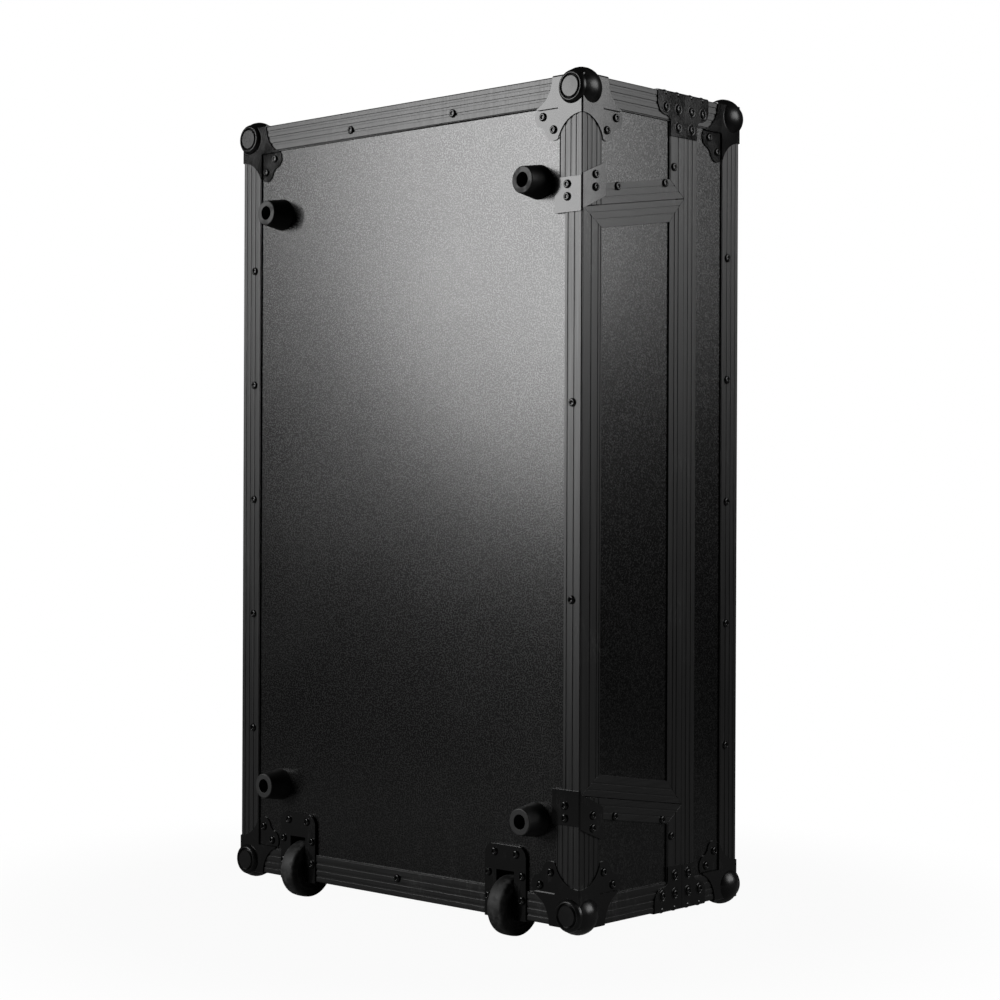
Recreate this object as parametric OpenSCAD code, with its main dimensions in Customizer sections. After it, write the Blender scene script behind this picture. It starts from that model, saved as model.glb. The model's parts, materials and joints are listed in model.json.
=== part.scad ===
// Coffin-style flight case for a controller, standing on its wheel end.
// X runs from the rear to the removable front panel, Y from the bottom face to the lid,
// Z up along the case. All sizes are in millimetres.

/* [Case] */
// Length of the case between its two end faces
case_len = 840; // [760:10:1000]
// Width of the case from the rear face to the front face
case_wid = 505; // [490:5:640]
// Depth of the base from the bottom face to the parting line
base_dep = 162; // [160:2:220]
// Depth of the lid from the parting line to its top face
lid_dep = 95; // [92:1:140]
// Thickness of the laminated boards
board_t = 9; // [7:0.5:10]
// Gap between the lid and the base at the parting line
seam = 0.4; // [0.3:0.1:0.8]

/* [Extrusions] */
// Width of each leg of an edge extrusion
edge_leg = 29.6; // [28:0.2:31]
// Radius of the outer corner of an edge extrusion
edge_round = 1.4; // [0.6:0.1:1.4]
// Wall thickness of every extrusion
ext_t = 1.8; // [1.5:0.1:2.2]
// Depth of the channels between the ribs
channel_depth = 0.6; // [0.3:0.1:0.8]
// Width of the channels between the ribs
channel_w = 2.6; // [1.6:0.2:3]
// Width of the rim extrusion on the base
base_rim_w = 23.8; // [21:0.2:26]
// Width of the rim extrusion on the lid
lid_rim_w = 20.8; // [19:0.2:23]
// Height of the tongue that enters the lid's groove
tongue_h = 5; // [3:0.5:6]
// Thickness of the tongue
tongue_t = 2.4; // [1.8:0.1:3]
// Clearance round the tongue in its groove
tongue_gap = 0.5; // [0.4:0.1:0.8]

/* [Front opening] */
// Distance from an end face to the opening, measured at the bottom face
cheek_low = 130.8; // [124:0.2:140]
// Distance from an end face to the opening, measured at the parting line
cheek_high = 106.5; // [98:0.5:116]
// Gap between the front panel and its opening
panel_gap = 0.8; // [0.5:0.1:1.5]
// Width of the strips round the opening
cheek_strip_w = 20.7; // [18:0.1:23]
// Width of the front panel's end strips
panel_strip_w = 22.3; // [19:0.1:25]
// Width of the front panel's lower strip
panel_foot_w = 28.3; // [24:0.1:32]
// Width of the sill strip on the bottom face
sill_w = 21.8; // [18:0.2:26]
// Thickness of the plate of an opening bracket
bracket_t = 1.5; // [1:0.1:2]
// Width of an opening bracket on the bottom face
bracket_w = 34.5; // [32:0.5:38]

/* [Steel corners] */
// Thickness of the plates of the ball corners and braces
plate_t = 1.2; // [0.9:0.1:1.5]
// Inset of the ball's centre from each face
ball_inset = 12.4; // [11.5:0.1:13]
// Radius of the ball where it leaves the faces
ball_foot_r = 16.8; // [16:0.1:17.2]
// Height of the flat disc on the ball above the bottom face and the lid
disc_h = 5.6; // [5.4:0.1:6.4]
// Outer radius of the bends of the plates and braces
bend_r = 2; // [1.5:0.1:2.2]
// Length of a corner plate's arm at the edge of the case
arm_len = 38.4; // [36:0.2:41]
// Reach of a corner plate along the inner side of the extrusion
arm_reach = 58.6; // [56:0.2:60]
// Length of a corner brace along the rim
brace_len = 44.6; // [42:0.2:48]
// Width of the base's corner brace at the edge of the case
base_brace_w = 44.6; // [42:0.2:48]
// Width of the lid's corner brace at the edge of the case
lid_brace_w = 39.5; // [38:0.1:40]
// Radius of a rivet's head
rivet_r = 4.4; // [3.5:0.1:4.8]
// Height of a rivet's head
rivet_h = 2.1; // [1.4:0.1:2.6]

/* [Feet and wheels] */
// Height of a rubber foot above the board
foot_h = 25; // [20:1:30]
// Radius of a foot where it meets the board
foot_base_r = 17.5; // [16:0.5:19]
// Radius of a foot at its tip
foot_tip_r = 13.8; // [12.5:0.1:14.5]
// Radius of the hole in a foot
foot_hole_r = 7.4; // [6.8:0.1:8]
// Inset of the feet from the end faces
foot_end_inset = 102; // [96:1:120]
// Inset of the rear feet from the rear face
foot_rear_inset = 64; // [56:1:90]
// Inset of the front feet from the front face
foot_front_inset = 58.5; // [54:0.5:90]
// Radius of a wheel
wheel_r = 31; // [29:0.5:32]
// Width of a wheel
wheel_w = 21; // [19:0.5:22]
// Reach of a wheel below the end face
wheel_drop = 20.4; // [18:0.1:22]
// Reach of a wheel past the bottom face
wheel_out = 19.5; // [16:0.5:21]
// Inset of the wheels from the rear and front faces
wheel_inset = 97; // [92:1:110]
// Radius of a wheel's axle
axle_r = 4; // [3:0.1:5]
// Radial running clearance on axles and hinge pins
run_gap = 0.05; // [0.02:0.01:0.1]
// Width of a wheel housing's slot
slot_w = 24; // [23:0.5:26]
// Thickness of a wheel housing's steel
housing_t = 1.5; // [1.2:0.1:1.8]
// Width of a wheel housing's flanges
housing_w = 56; // [52:1:60]

/* [Handles] */
// Width of a handle dish's flange
dish_w = 160; // [152:2:166]
// Height of a handle dish's flange
dish_h = 104; // [98:1:104]
// Width of the rim round a handle dish's cup
dish_rim = 8; // [6:0.5:10]
// Depth of a handle dish's floor below the end face
dish_depth = 21; // [20:0.5:24]
// Radius of the rubber grip
grip_r = 9; // [8:0.5:9]
// Gap between the ends of the rubber grip and the handle's arms
grip_end_gap = 5; // [3:0.5:8]
// Radius of the handle's steel bar
bail_r = 4.5; // [4:0.5:5.5]
// Radius of the handle's hinge pins
handle_pin_r = 3; // [2.4:0.1:3.4]

/* [Latches] */
// Distance from the middle of an end face to each latch
latch_x = 142; // [138:1:144]
// Width of a latch dish's flange
latch_w = 105; // [99:1:105]
// Reach of a latch dish into the base
latch_base = 58; // [57:0.5:62]
// Reach of a keeper dish into the lid
latch_lid = 34; // [30:0.5:36]
// Width of the rim round a latch dish's cup
latch_rim = 5; // [4:0.5:6]
// Depth of a latch dish's floor below the end face
latch_depth = 12; // [12:0.2:13]
// Travel of the hook along the case's depth
hook_pull = 8; // [7:0.5:9]
// Drop of the hook as it closes
hook_drop = 3.2; // [3:0.1:3.4]
// Width of the hook at its tip
hook_w = 24; // [18:1:28]
// Radius of the folding wing
wing_r = 22; // [19:0.5:23]

/* [Linings] */
// Thickness of the foam on the floor of the base
floor_foam_t = 12; // [8:1:20]
// Thickness of the foam blocks on the walls
wall_foam_t = 12; // [8:1:16]
// Thickness of the foam under the lid
lid_foam_t = 20; // [10:1:30]

/* [Hidden] */
$fn = 48;
case_dep = base_dep + lid_dep;
wall_t = ext_t + board_t;
half_w = case_wid/2;
mid_z = case_len/2;
foot_out = foot_h - ext_t;
case_y = (foot_out - case_dep - disc_h)/2;
fit = 0.2;
lid_y = base_dep + seam;
groove_h = tongue_h + tongue_gap + seam;
lid_bar_h = groove_h + ext_t;
hollow_t = 1.5;
brace_step = 24.5;
slide_len = norm([hook_pull, hook_drop]);
steel = "#26282b";
board_black = "#1c1d1f";
satin_black = "#34363a";
rubber_black = "#161617";
foam_grey = "#3d3f42";
zinc = "#8d9094";

// Distance from an end face to the opening's slanted side at depth y
function cheek(y) = cheek_low + (cheek_high - cheek_low)*y/base_dep;

// Outline of the opening drawn in by d along Z, between the depths y0 and y1
function trapezoid(d, y0, y1) = [
    [y0, cheek(y0) + d], [y1, cheek(y1) + d],
    [y1, case_len - cheek(y1) - d], [y0, case_len - cheek(y0) - d]];

// Places the finished pieces: the origin is under the middle, on the floor
module in_case() { translate([0, case_y, wheel_drop]) children(); }

// Frames whose local Z points out of a face of the case
module on_bottom(x, z, lift = 0) { translate([x, -lift, z]) rotate([90, 0, 0]) children(); }
module on_lid(x, z, lift = 0) {
    translate([x, case_dep + lift, z]) rotate([-90, 0, 0]) children();
}
module on_side(s, y, z, lift = 0) {
    translate([s*(half_w + lift), y, z]) rotate([0, 90*s, 0]) children();
}
// End faces: e is 1 at the top and -1 at the wheel end; local X and Y stay the case's own
module on_end(e, x, y, lift = 0) {
    translate([x, y, e > 0 ? case_len + lift : -lift])
        mirror([0, 0, e > 0 ? 0 : 1]) children();
}
module both_ends() { for (e = [-1, 1]) on_end(e, 0, 0) children(); }

// Corner frames: the local axes run inwards along the three edges of that corner
module at_corner(sx, sy, sz) {
    translate([sx*half_w, sy > 0 ? case_dep : 0, sz > 0 ? case_len : 0])
        mirror([sx > 0 ? 1 : 0, 0, 0]) mirror([0, sy > 0 ? 1 : 0, 0])
            mirror([0, 0, sz > 0 ? 1 : 0]) children();
}
// Extrudes a (y, z) outline from the depth in0 to the depth in1 below the front face
module front_slab(in0, in1) {
    translate([half_w - in1, 0, 0]) rotate([90, 0, 90]) linear_extrude(in1 - in0) children();
}
// Extrudes a (y, z) outline across the case from x0 to x1
module yz_slab(x0, x1) {
    translate([x0, 0, 0]) rotate([90, 0, 90]) linear_extrude(x1 - x0) children();
}
// A rectangular frame round the case between two insets, from y0 to y1
module ring(in0, in1, y0, y1) {
    translate([0, y1, 0]) rotate([90, 0, 0]) linear_extrude(y1 - y0) difference() {
        translate([in0 - half_w, in0]) square([case_wid - 2*in0, case_len - 2*in0]);
        translate([in1 - half_w, in1]) square([case_wid - 2*in1, case_len - 2*in1]);
    }
}
module rounded_rect(w, h, r) {
    translate([r - w/2, -h/2]) square([w - 2*r, h]);
    translate([-w/2, r - h/2]) square([w, h - 2*r]);
    for (sx = [-1, 1], sy = [-1, 1]) translate([sx*(w/2 - r), sy*(h/2 - r)]) circle(r);
}

// Boards
module board(x0, x1, y0, y1, z0, z1) {
    translate([x0, y0, z0]) cube([x1 - x0, y1 - y0, z1 - z0]);
}
sill_back = wall_t + 2.2;
module housing_cut() {
    w = slot_w + 2*housing_t + 2*fit;
    for (s = [-1, 1]) at_wheel(s) {
        translate([-w/2, -1, -1]) cube([w, cup_d + fit + 1, cup_d + fit + 1]);
        translate([0, wheel_y, wheel_z]) rotate([0, 90, 0])
            cylinder(h = w + 5.6, r = axle_head_r + 0.5, center = true);
    }
}
module bottom_board() {
    color(board_black) in_case() difference() {
        board(ext_t - half_w, half_w - ext_t, ext_t, wall_t, ext_t, case_len - ext_t);
        housing_cut();
        front_slab(-1, sill_back) polygon(trapezoid(fit, -1, wall_t + 1));
    }
}
module rear_board() {
    color(board_black) in_case()
        board(ext_t - half_w, wall_t - half_w, wall_t, base_dep - ext_t, wall_t, case_len - wall_t);
}
module end_board() {
    board(ext_t - half_w, half_w - ext_t, wall_t, base_dep - ext_t, -wall_t, -ext_t);
}
module end_cuts() {
    translate([0, handle_y, 0]) cup_2d_cut(dish_w - 2*dish_rim, dish_h - 2*dish_rim, 12);
    for (s = [-1, 1]) translate([s*latch_x, base_dep, 0]) latch_cut();
}
module cup_2d_cut(w, h, r) {
    translate([0, 0, -40]) linear_extrude(80)
        rounded_rect(w + 2*hollow_t + 2*fit, h + 2*hollow_t + 2*fit, r + hollow_t + fit);
}
module latch_cut() {
    w = latch_w - 2*latch_rim + 2*hollow_t + 2*fit;
    translate([-w/2, latch_rim - hollow_t - fit - latch_base, -40])
        cube([w, latch_base + latch_lid - 2*latch_rim + 2*hollow_t + 2*fit, 80]);
}
module top_end_board() {
    color(board_black) in_case() on_end(1, 0, 0) difference() {
        end_board();
        end_cuts();
    }
}
module wheel_end_board() {
    color(board_black) in_case() difference() {
        on_end(-1, 0, 0) difference() {
            end_board();
            end_cuts();
        }
        housing_cut();
    }
}
module cheek_boards() {
    color(board_black) in_case() front_slab(ext_t, wall_t) {
        cheek_outline(hollow_t + fit);
        translate([0, case_len]) mirror([0, 1]) cheek_outline(hollow_t + fit);
    }
}
module cheek_outline(d) {
    y1 = base_dep - ext_t;
    polygon([[wall_t, wall_t], [wall_t, cheek(wall_t) - d], [y1, cheek(y1) - d], [y1, wall_t]]);
}

// Extrusions
// Channels cut into the outer face of a leg of width w; they run along Z
module channels(w) {
    for (k = [0.235, 0.465, 0.715])
        translate([w*k - channel_w/2, -1]) square([channel_w, 1 + channel_depth]);
    translate([w - 1.5, -1]) square([0.6, 1 + channel_depth]);
}
module angle_2d(w) {
    difference() {
        union() {
            translate([edge_round, 0]) square([w - edge_round, ext_t]);
            translate([0, edge_round]) square([ext_t, w - edge_round]);
            intersection() {
                translate([edge_round, edge_round]) circle(edge_round);
                square(edge_round);
            }
        }
        channels(w);
        mirror([1, -1]) channels(w);
    }
}
module angle_bar(len) { linear_extrude(len) angle_2d(edge_leg); }

module edge_loop(sy) {
    span_x = case_wid - 2*edge_leg;
    for (sz = [-1, 1]) at_corner(-1, sy, sz) translate([edge_leg, 0, 0])
        rotate([0, 90, 0]) mirror([1, 0, 0]) angle_bar(span_x);
    at_corner(-1, sy, -1) translate([0, 0, edge_leg]) angle_bar(case_len - 2*edge_leg);
}
module bottom_edge_extrusions() {
    color(satin_black) in_case() {
        difference() {
            edge_loop(-1);
            housing_cut();
        }
        for (sz = [-1, 1]) difference() {
            at_corner(1, -1, sz) translate([0, 0, edge_leg]) angle_bar(cheek_low - edge_leg);
            front_slab(-1, edge_leg + 1) polygon(trapezoid(0, -1, base_dep));
        }
    }
}
module base_corner_posts() {
    len = base_dep - base_rim_w - fit - edge_leg;
    color(satin_black) in_case() for (sx = [-1, 1], sz = [-1, 1])
        at_corner(sx, -1, sz) translate([0, edge_leg, 0])
            rotate([-90, 0, 0]) mirror([0, 1, 0]) angle_bar(len);
}
// Thin 45 degree cuts that part a rim loop at its four corners
module mitres(y0, y1) {
    for (sx = [-1, 1], sz = [-1, 1]) at_corner(sx, -1, sz)
        translate([0, y0, 0]) rotate([0, -45, 0])
            translate([-1, 0, -0.12]) cube([40, y1 - y0, 0.24]);
}
module rim_channels(y0, dy) {
    for (d = dy) ring(-1, channel_depth, y0 + d, y0 + d + 1.4);
}
module base_rim_loop() {
    y0 = base_dep - base_rim_w;
    difference() {
        union() {
            ring(0, ext_t, y0, base_dep);
            ring(0, wall_t + hollow_t, base_dep - ext_t, base_dep);
            ring(wall_t, wall_t + hollow_t, base_dep - 14, base_dep);
            ring(tongue_in, tongue_in + tongue_t, base_dep - ext_t, base_dep + tongue_h);
        }
        rim_channels(y0, [0.8, 13.5]);
        mitres(y0 - 1, base_dep + tongue_h + 1);
        both_ends() for (s = [-1, 1]) translate([s*latch_x, base_dep, 0]) latch_window();
    }
}
tongue_in = 4.8;
module latch_window() {
    translate([-latch_w/2 - fit, -latch_base - fit, -40])
        cube([latch_w + 2*fit, latch_base + latch_lid + 2*fit, 41]);
}
module base_rim_extrusions() {
    color(satin_black) in_case() difference() {
        base_rim_loop();
        front_slab(-1, wall_t + hollow_t + 1)
            polygon(mitre_outline(base_dep - base_rim_w, cheek_strip_w));
    }
}
// Area between the mitres of the strips round the opening, out to the strip width w
function mitre_outline(y0, w) = [
    [y0 - 1, cheek(y0) - w - fit], [y0, cheek(y0) - w - fit], [base_dep, cheek(base_dep) - 2*fit],
    [base_dep + 20, cheek(base_dep) - 2*fit], [base_dep + 20, case_len - cheek(base_dep) + 2*fit],
    [base_dep, case_len - cheek(base_dep) + 2*fit],
    [y0, case_len - cheek(y0) + w + fit], [y0 - 1, case_len - cheek(y0) + w + fit]];

// One strip beside the opening: outer leg, edge wall and a tongue for the panel's groove
module opening_strip() {
    y0 = edge_leg + fit;
    y1 = base_dep - base_rim_w;
    ya = wall_t + fit;
    yb = base_dep - ext_t - fit;
    w = cheek_strip_w;
    difference() {
        union() {
            front_slab(0, ext_t) polygon([[y0, cheek(y0) - w], [y1, cheek(y1) - w],
                [base_dep, cheek(base_dep) - fit], [base_dep, cheek(base_dep)],
                [y0, cheek(y0)]]);
            front_slab(ext_t, wall_t) polygon([[ya, cheek(ya) - hollow_t],
                [yb, cheek(yb) - hollow_t], [yb, cheek(yb)], [ya, cheek(ya)]]);
            front_slab(tongue_in, tongue_in + tongue_t) polygon([
                [wall_t + 20, cheek(wall_t + 20)], [base_dep - 8, cheek(base_dep - 8)],
                [base_dep - 8, cheek(base_dep - 8) + side_tongue],
                [wall_t + 20, cheek(wall_t + 20) + side_tongue]]);
        }
        for (d = [6.1, 13.2]) front_slab(-1, channel_depth) polygon([
            [y0 - 1, cheek(y0 - 1) - d - 1.4], [base_dep, cheek(base_dep) - d - 1.4],
            [base_dep, cheek(base_dep) - d], [y0 - 1, cheek(y0 - 1) - d]]);
    }
}
side_tongue = 3.4;
module opening_frame_strips() {
    color(satin_black) in_case() {
        opening_strip();
        translate([0, 0, case_len]) mirror([0, 0, 1]) opening_strip();
    }
}
module sill_strip() {
    z0 = cheek(0) + 2*fit;
    color(satin_black) in_case() translate([half_w, 0, z0])
        linear_extrude(case_len - 2*z0) difference() {
            union() {
                translate([-sill_w, 0]) square([sill_w - edge_round, ext_t]);
                translate([-edge_round, edge_round]) square([edge_round, ext_t - edge_round]);
                intersection() {
                    translate([-edge_round, edge_round]) circle(edge_round);
                    translate([-edge_round, 0]) square(edge_round);
                }
                translate([-wall_t - 0.3 - hollow_t, 0]) square([hollow_t, wall_t + 3]);
            }
            for (d = [9.4, 17.8]) translate([-d - 0.7, -1]) square([1.4, 1 + channel_depth]);
        }
}
// Waste outside a rounded bend along local Z, for plates of thickness t round the origin
module bend_waste(t, len) {
    translate([-t, -t, -len/2]) linear_extrude(len) difference() {
        translate([-1, -1]) square(bend_r + 1);
        translate([bend_r, bend_r]) circle(bend_r);
    }
}
// Steel bracket over the end of the opening, bent round the case's edge
module opening_bracket() {
    z0 = 100.7;
    z1 = cheek(0) + 4.8;
    difference() {
        union() {
            translate([half_w - bracket_w, -bracket_t, z0])
                cube([bracket_w + bracket_t, bracket_t, z1 - z0]);
            translate([half_w, 0, 0]) rotate([90, 0, 90]) linear_extrude(bracket_t)
                polygon([[-bracket_t, z0 - 2], [bracket_w, z0 - 16.7], [bracket_w, z1 - 18.2],
                    [8, z1 - 6.1], [0, z1 - 2.6], [-bracket_t, z1]]);
        }
        translate([half_w, 0, z0]) mirror([1, 0, 0]) bend_waste(bracket_t, 200);
    }
}
module opening_brackets() {
    color(steel) in_case() {
        opening_bracket();
        translate([0, 0, case_len]) mirror([0, 0, 1]) opening_bracket();
    }
}

// Steel braces at the parting line; p runs from the parting line, q from the case's edge
module brace_2d(wide, narrow) {
    r1 = wide - narrow - brace_fillet;
    square([narrow, brace_len]);
    translate([0, -plate_t]) square([wide, plate_t + brace_step - r1]);
    translate([0, -plate_t]) square([wide - r1, plate_t + brace_step]);
    translate([wide - r1, brace_step - r1]) intersection() {
        circle(r1);
        square(r1);
    }
    difference() {
        translate([narrow - 1, brace_step - 1]) square([brace_fillet + 1, brace_fillet + 1]);
        translate([narrow + brace_fillet, brace_step + brace_fillet]) circle(brace_fillet);
    }
}
brace_fillet = 8;
// A brace's two legs, with the corner's edge along local Y and the parting line at y = 0
module brace(wide, narrow, bumps) {
    difference() {
        for (turn = [0, 1]) mirror(turn == 0 ? [0, 0, 0] : [1, 0, -1])
            translate([0, 0, -plate_t]) linear_extrude(plate_t)
                mirror([1, -1]) brace_2d(wide, narrow);
        rotate([90, 0, 0]) bend_waste(plate_t, 200);
    }
    difference() {
        for (p = bumps) translate([bump_in, p, bump_in]) sphere(bump_r, $fn = 24);
        translate([0, -1, 0]) cube(60);
    }
}
bump_r = 3.6;
bump_in = 1.6;
base_brace_p = [11.4, 31.9];
lid_brace_p = [10.2, 29.4];
module base_corner_braces() {
    color(steel) in_case() for (sx = [-1, 1], sz = [-1, 1])
        at_corner(sx, -1, sz) translate([0, base_dep, 0]) mirror([0, 1, 0])
            brace(base_brace_w, base_rim_w - 0.8, base_brace_p);
}
module lid_corner_braces() {
    color(steel) in_case() for (sx = [-1, 1], sz = [-1, 1])
        at_corner(sx, -1, sz) translate([0, lid_y, 0])
            brace(lid_brace_w, lid_rim_w - 0.8, lid_brace_p);
}

// Ball corners: three pressed plates round a ball that is flat towards the bottom or the lid
arm_c = (pow(edge_leg, 2) + pow(arm_reach, 2) - pow(arm_len, 2))/(2*(arm_reach - arm_len));
arm_r = arm_c - arm_len;
plate_end = 59;
ear_a = 52;
ear_b = 38;
ear_r = 10.8;
module arm_cuts() {
    translate([arm_c, 0]) circle(arm_r, $fn = 96);
    translate([0, arm_c]) circle(arm_r, $fn = 96);
}
module corner_plate() {
    in_w = edge_leg + fit;
    translate([0, 0, -plate_t]) linear_extrude(plate_t) difference() {
        translate([-plate_t, -plate_t]) square(plate_end + plate_t);
        arm_cuts();
        translate([in_w + plate_t, in_w + plate_t]) square(60);
    }
    translate([0, 0, -plate_t]) linear_extrude(plate_t + ext_t) difference() {
        translate([in_w, in_w]) square(plate_end - in_w);
        translate([in_w + plate_t, in_w + plate_t]) square(60);
        arm_cuts();
    }
    translate([0, 0, ext_t - plate_t + pad_groove]) linear_extrude(plate_t - pad_groove)
        pad_2d(in_w);
    translate([0, 0, ext_t - plate_t]) linear_extrude(plate_t)
        pad_2d(in_w + plate_t + pad_groove_w);
}
pad_groove = 0.6*plate_t;
pad_groove_w = 0.9;
module pad_2d(from) {
    intersection() {
        translate([from, from]) square(60);
        union() {
            translate([ear_a, ear_b]) circle(ear_r);
            translate([ear_b, ear_a]) circle(ear_r);
            polygon([[0, 0], [ear_a + ear_r - 1.5, 0], [ear_a + 6, ear_b + 6],
                [ear_b + 6, ear_a + 6], [0, ear_a + ear_r - 1.5]]);
        }
    }
}
// The flat disc of a ball, with a rounded shoulder and a groove round its middle
module ball_disc() {
    flat_r = ball_foot_r - disc_h;
    translate([ball_inset, 0, ball_inset]) rotate([90, 0, 0]) rotate_extrude() difference() {
        union() {
            square([flat_r, disc_h]);
            translate([0, -ball_inset]) square([ball_foot_r, ball_inset]);
            intersection() {
                translate([flat_r, 0]) circle(disc_h);
                square([ball_foot_r, disc_h]);
            }
        }
        translate([10.1, disc_h - 1]) square([1.7, 2]);
        translate([-1, disc_h - 0.4]) square([11.2, 2]);
    }
}
module ball_corner() {
    difference() {
        union() {
            ball_disc();
            difference() {
                translate([1, 1, 1]*ball_inset) sphere(norm([ball_inset, ball_foot_r]), $fn = 96);
                translate([-50, -50 - disc_h + 1.2, -50]) cube([150, 50, 150]);
            }
        }
        cube(80);
    }
    difference() {
        for (k = [0, 120, 240]) rotate(a = k, v = [1, 1, 1]) corner_plate();
        for (k = [0, 120, 240]) rotate(a = k, v = [1, 1, 1]) bend_waste(plate_t, 200);
    }
}
module base_ball_corners() {
    color(steel) in_case() for (sx = [-1, 1], sz = [-1, 1]) at_corner(sx, -1, sz) ball_corner();
}
module lid_ball_corners() {
    color(steel) in_case() for (sx = [-1, 1], sz = [-1, 1]) at_corner(sx, 1, sz) ball_corner();
}

// Rivets: a domed head with a small dimple
module rivet() {
    cap = (pow(rivet_r, 2) + pow(rivet_h, 2))/(2*rivet_h);
    rotate_extrude($fn = 32) difference() {
        intersection() {
            translate([0, rivet_h - cap]) circle(cap, $fn = 64);
            square([rivet_r, rivet_h]);
        }
        translate([0, rivet_h - 0.8]) square([1.7, 1]);
    }
}
plate_rivets_at = [[ear_a, ear_b], [ear_b, ear_a]];
module corner_plate_rivets(sy) {
    for (sx = [-1, 1], sz = [-1, 1]) at_corner(sx, sy, sz)
        for (k = [0, 120, 240], p = plate_rivets_at) rotate(a = k, v = [1, 1, 1])
            translate([p[0], p[1], ext_t - plate_t]) mirror([0, 0, 1]) rivet();
}
brace_q = 16.1;
brace_q2 = 34.9;
module brace_rivets(y, dir, p) {
    spots = [[brace_q, p[0]], [brace_q, p[1]], [brace_q2, p[0]]];
    for (sx = [-1, 1], sz = [-1, 1]) at_corner(sx, -1, sz) translate([0, y, 0])
        for (s = spots, turn = [0, 1]) mirror(turn == 0 ? [0, 0, 0] : [1, 0, -1])
            translate([s[0], dir*s[1], -plate_t]) mirror([0, 0, 1]) rivet();
}
edge_rivet = 19.8;
side_pitch = 129;
module side_row(n, pitch) { for (k = [0:n - 1]) translate([0, 0, (k - (n - 1)/2)*pitch]) children(); }
module base_rivets() {
    color(steel) in_case() {
        corner_plate_rivets(-1);
        brace_rivets(base_dep, -1, base_brace_p);
        translate([0, 0, mid_z]) side_row(5, side_pitch) {
            on_bottom(edge_rivet - half_w, 0) rivet();
            on_side(-1, edge_rivet, 0) rivet();
            on_side(-1, base_dep - base_rim_w/2 + 2, 0) rivet();
        }
        for (s = [-1, 1]) on_bottom(s*76.5, case_len - edge_rivet) rivet();
        on_bottom(0, edge_rivet) rivet();
        both_ends() for (s = [-1, 1]) translate([s*76.5, edge_rivet, 0]) rivet();
        both_ends() translate([0, base_dep - base_rim_w/2 + 2, 0]) rivet();
        on_bottom(half_w - 11.4, mid_z + 97) rivet();
        on_bottom(half_w - 11.4, mid_z - 97) rivet();
        for (e = [-1, 1]) translate([0, 0, mid_z]) mirror([0, 0, e > 0 ? 0 : 1])
            translate([0, 0, -mid_z]) front_end_rivets();
        wheel_housing_rivets();
        handle_dish_rivets();
        latch_dish_rivets();
    }
}
// Rivets of one end of the front side, given at the wheel end
module front_end_rivets() {
    for (z = [107.9, 120.2]) on_bottom(half_w - 17.9, z, bracket_t) rivet();
    for (z = [97.8, 110.4]) on_side(1, 18.6, z, bracket_t) rivet();
    on_side(1, base_dep - base_rim_w/2 - 4.8, 76) rivet();
    on_side(1, 54.2, cheek(54.2) - 17.1) rivet();
    on_side(1, 130.4, cheek(130.4) - 17.1) rivet();
}
module lid_rivets() {
    color(steel) in_case() {
        corner_plate_rivets(1);
        brace_rivets(lid_y, 1, lid_brace_p);
        translate([0, 0, mid_z]) side_row(5, side_pitch) for (s = [-1, 1]) {
            on_side(s, case_dep - edge_rivet, 0) rivet();
            on_lid(s*(half_w - edge_rivet), 0) rivet();
        }
        for (s = [-1, 1], z = [edge_rivet, case_len - edge_rivet]) on_lid(s*76.5, z) rivet();
        both_ends() for (s = [-1, 1]) translate([s*76.5, case_dep - edge_rivet, 0]) rivet();
        keeper_dish_rivets();
    }
}

// Rubber feet and their screws
module foot_spots() {
    for (z = [foot_end_inset, case_len - foot_end_inset]) {
        on_bottom(foot_rear_inset - half_w, z, -ext_t) children();
        on_bottom(half_w - foot_front_inset, z, -ext_t) children();
    }
}
foot_edge = 1.4;
foot_floor = 7;
screw_r = 2.5;
module foot() {
    rotate_extrude($fn = 64) difference() {
        union() {
            polygon([[0, 0], [foot_base_r, 0], [foot_tip_r, foot_h - foot_edge],
                [foot_tip_r - foot_edge, foot_h], [0, foot_h]]);
            intersection() {
                translate([foot_tip_r - foot_edge, foot_h - foot_edge]) circle(foot_edge);
                square([foot_tip_r, foot_h]);
            }
        }
        translate([-1, foot_floor]) square([foot_hole_r + 1, foot_h]);
        translate([-1, -1]) square([screw_r + 0.2 + 1, foot_h]);
    }
}
module rubber_feet() { color(rubber_black) in_case() foot_spots() foot(); }
module foot_screws() {
    color(zinc) in_case() foot_spots() translate([0, 0, foot_floor]) rotate_extrude($fn = 32)
        difference() {
            union() {
                square([foot_hole_r - 0.4, 1]);
                square([5, 2]);
                intersection() {
                    translate([0, -2]) circle(6.6);
                    square([5, 4.2]);
                }
                translate([0, -foot_floor]) square([screw_r, foot_floor]);
            }
            translate([-1, 3.2]) square([2.2, 3]);
        }
}

// Wheels in their housings at the lower edge of the bottom face
wheel_y = wheel_r - wheel_out;
wheel_z = wheel_r - wheel_drop;
cup_in = 47;
axle_head_r = 6;
cup_d = cup_in + housing_t;
hub_r = 20;
module at_wheel(s) { translate([s*(half_w - wheel_inset), 0, 0]) children(); }
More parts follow.
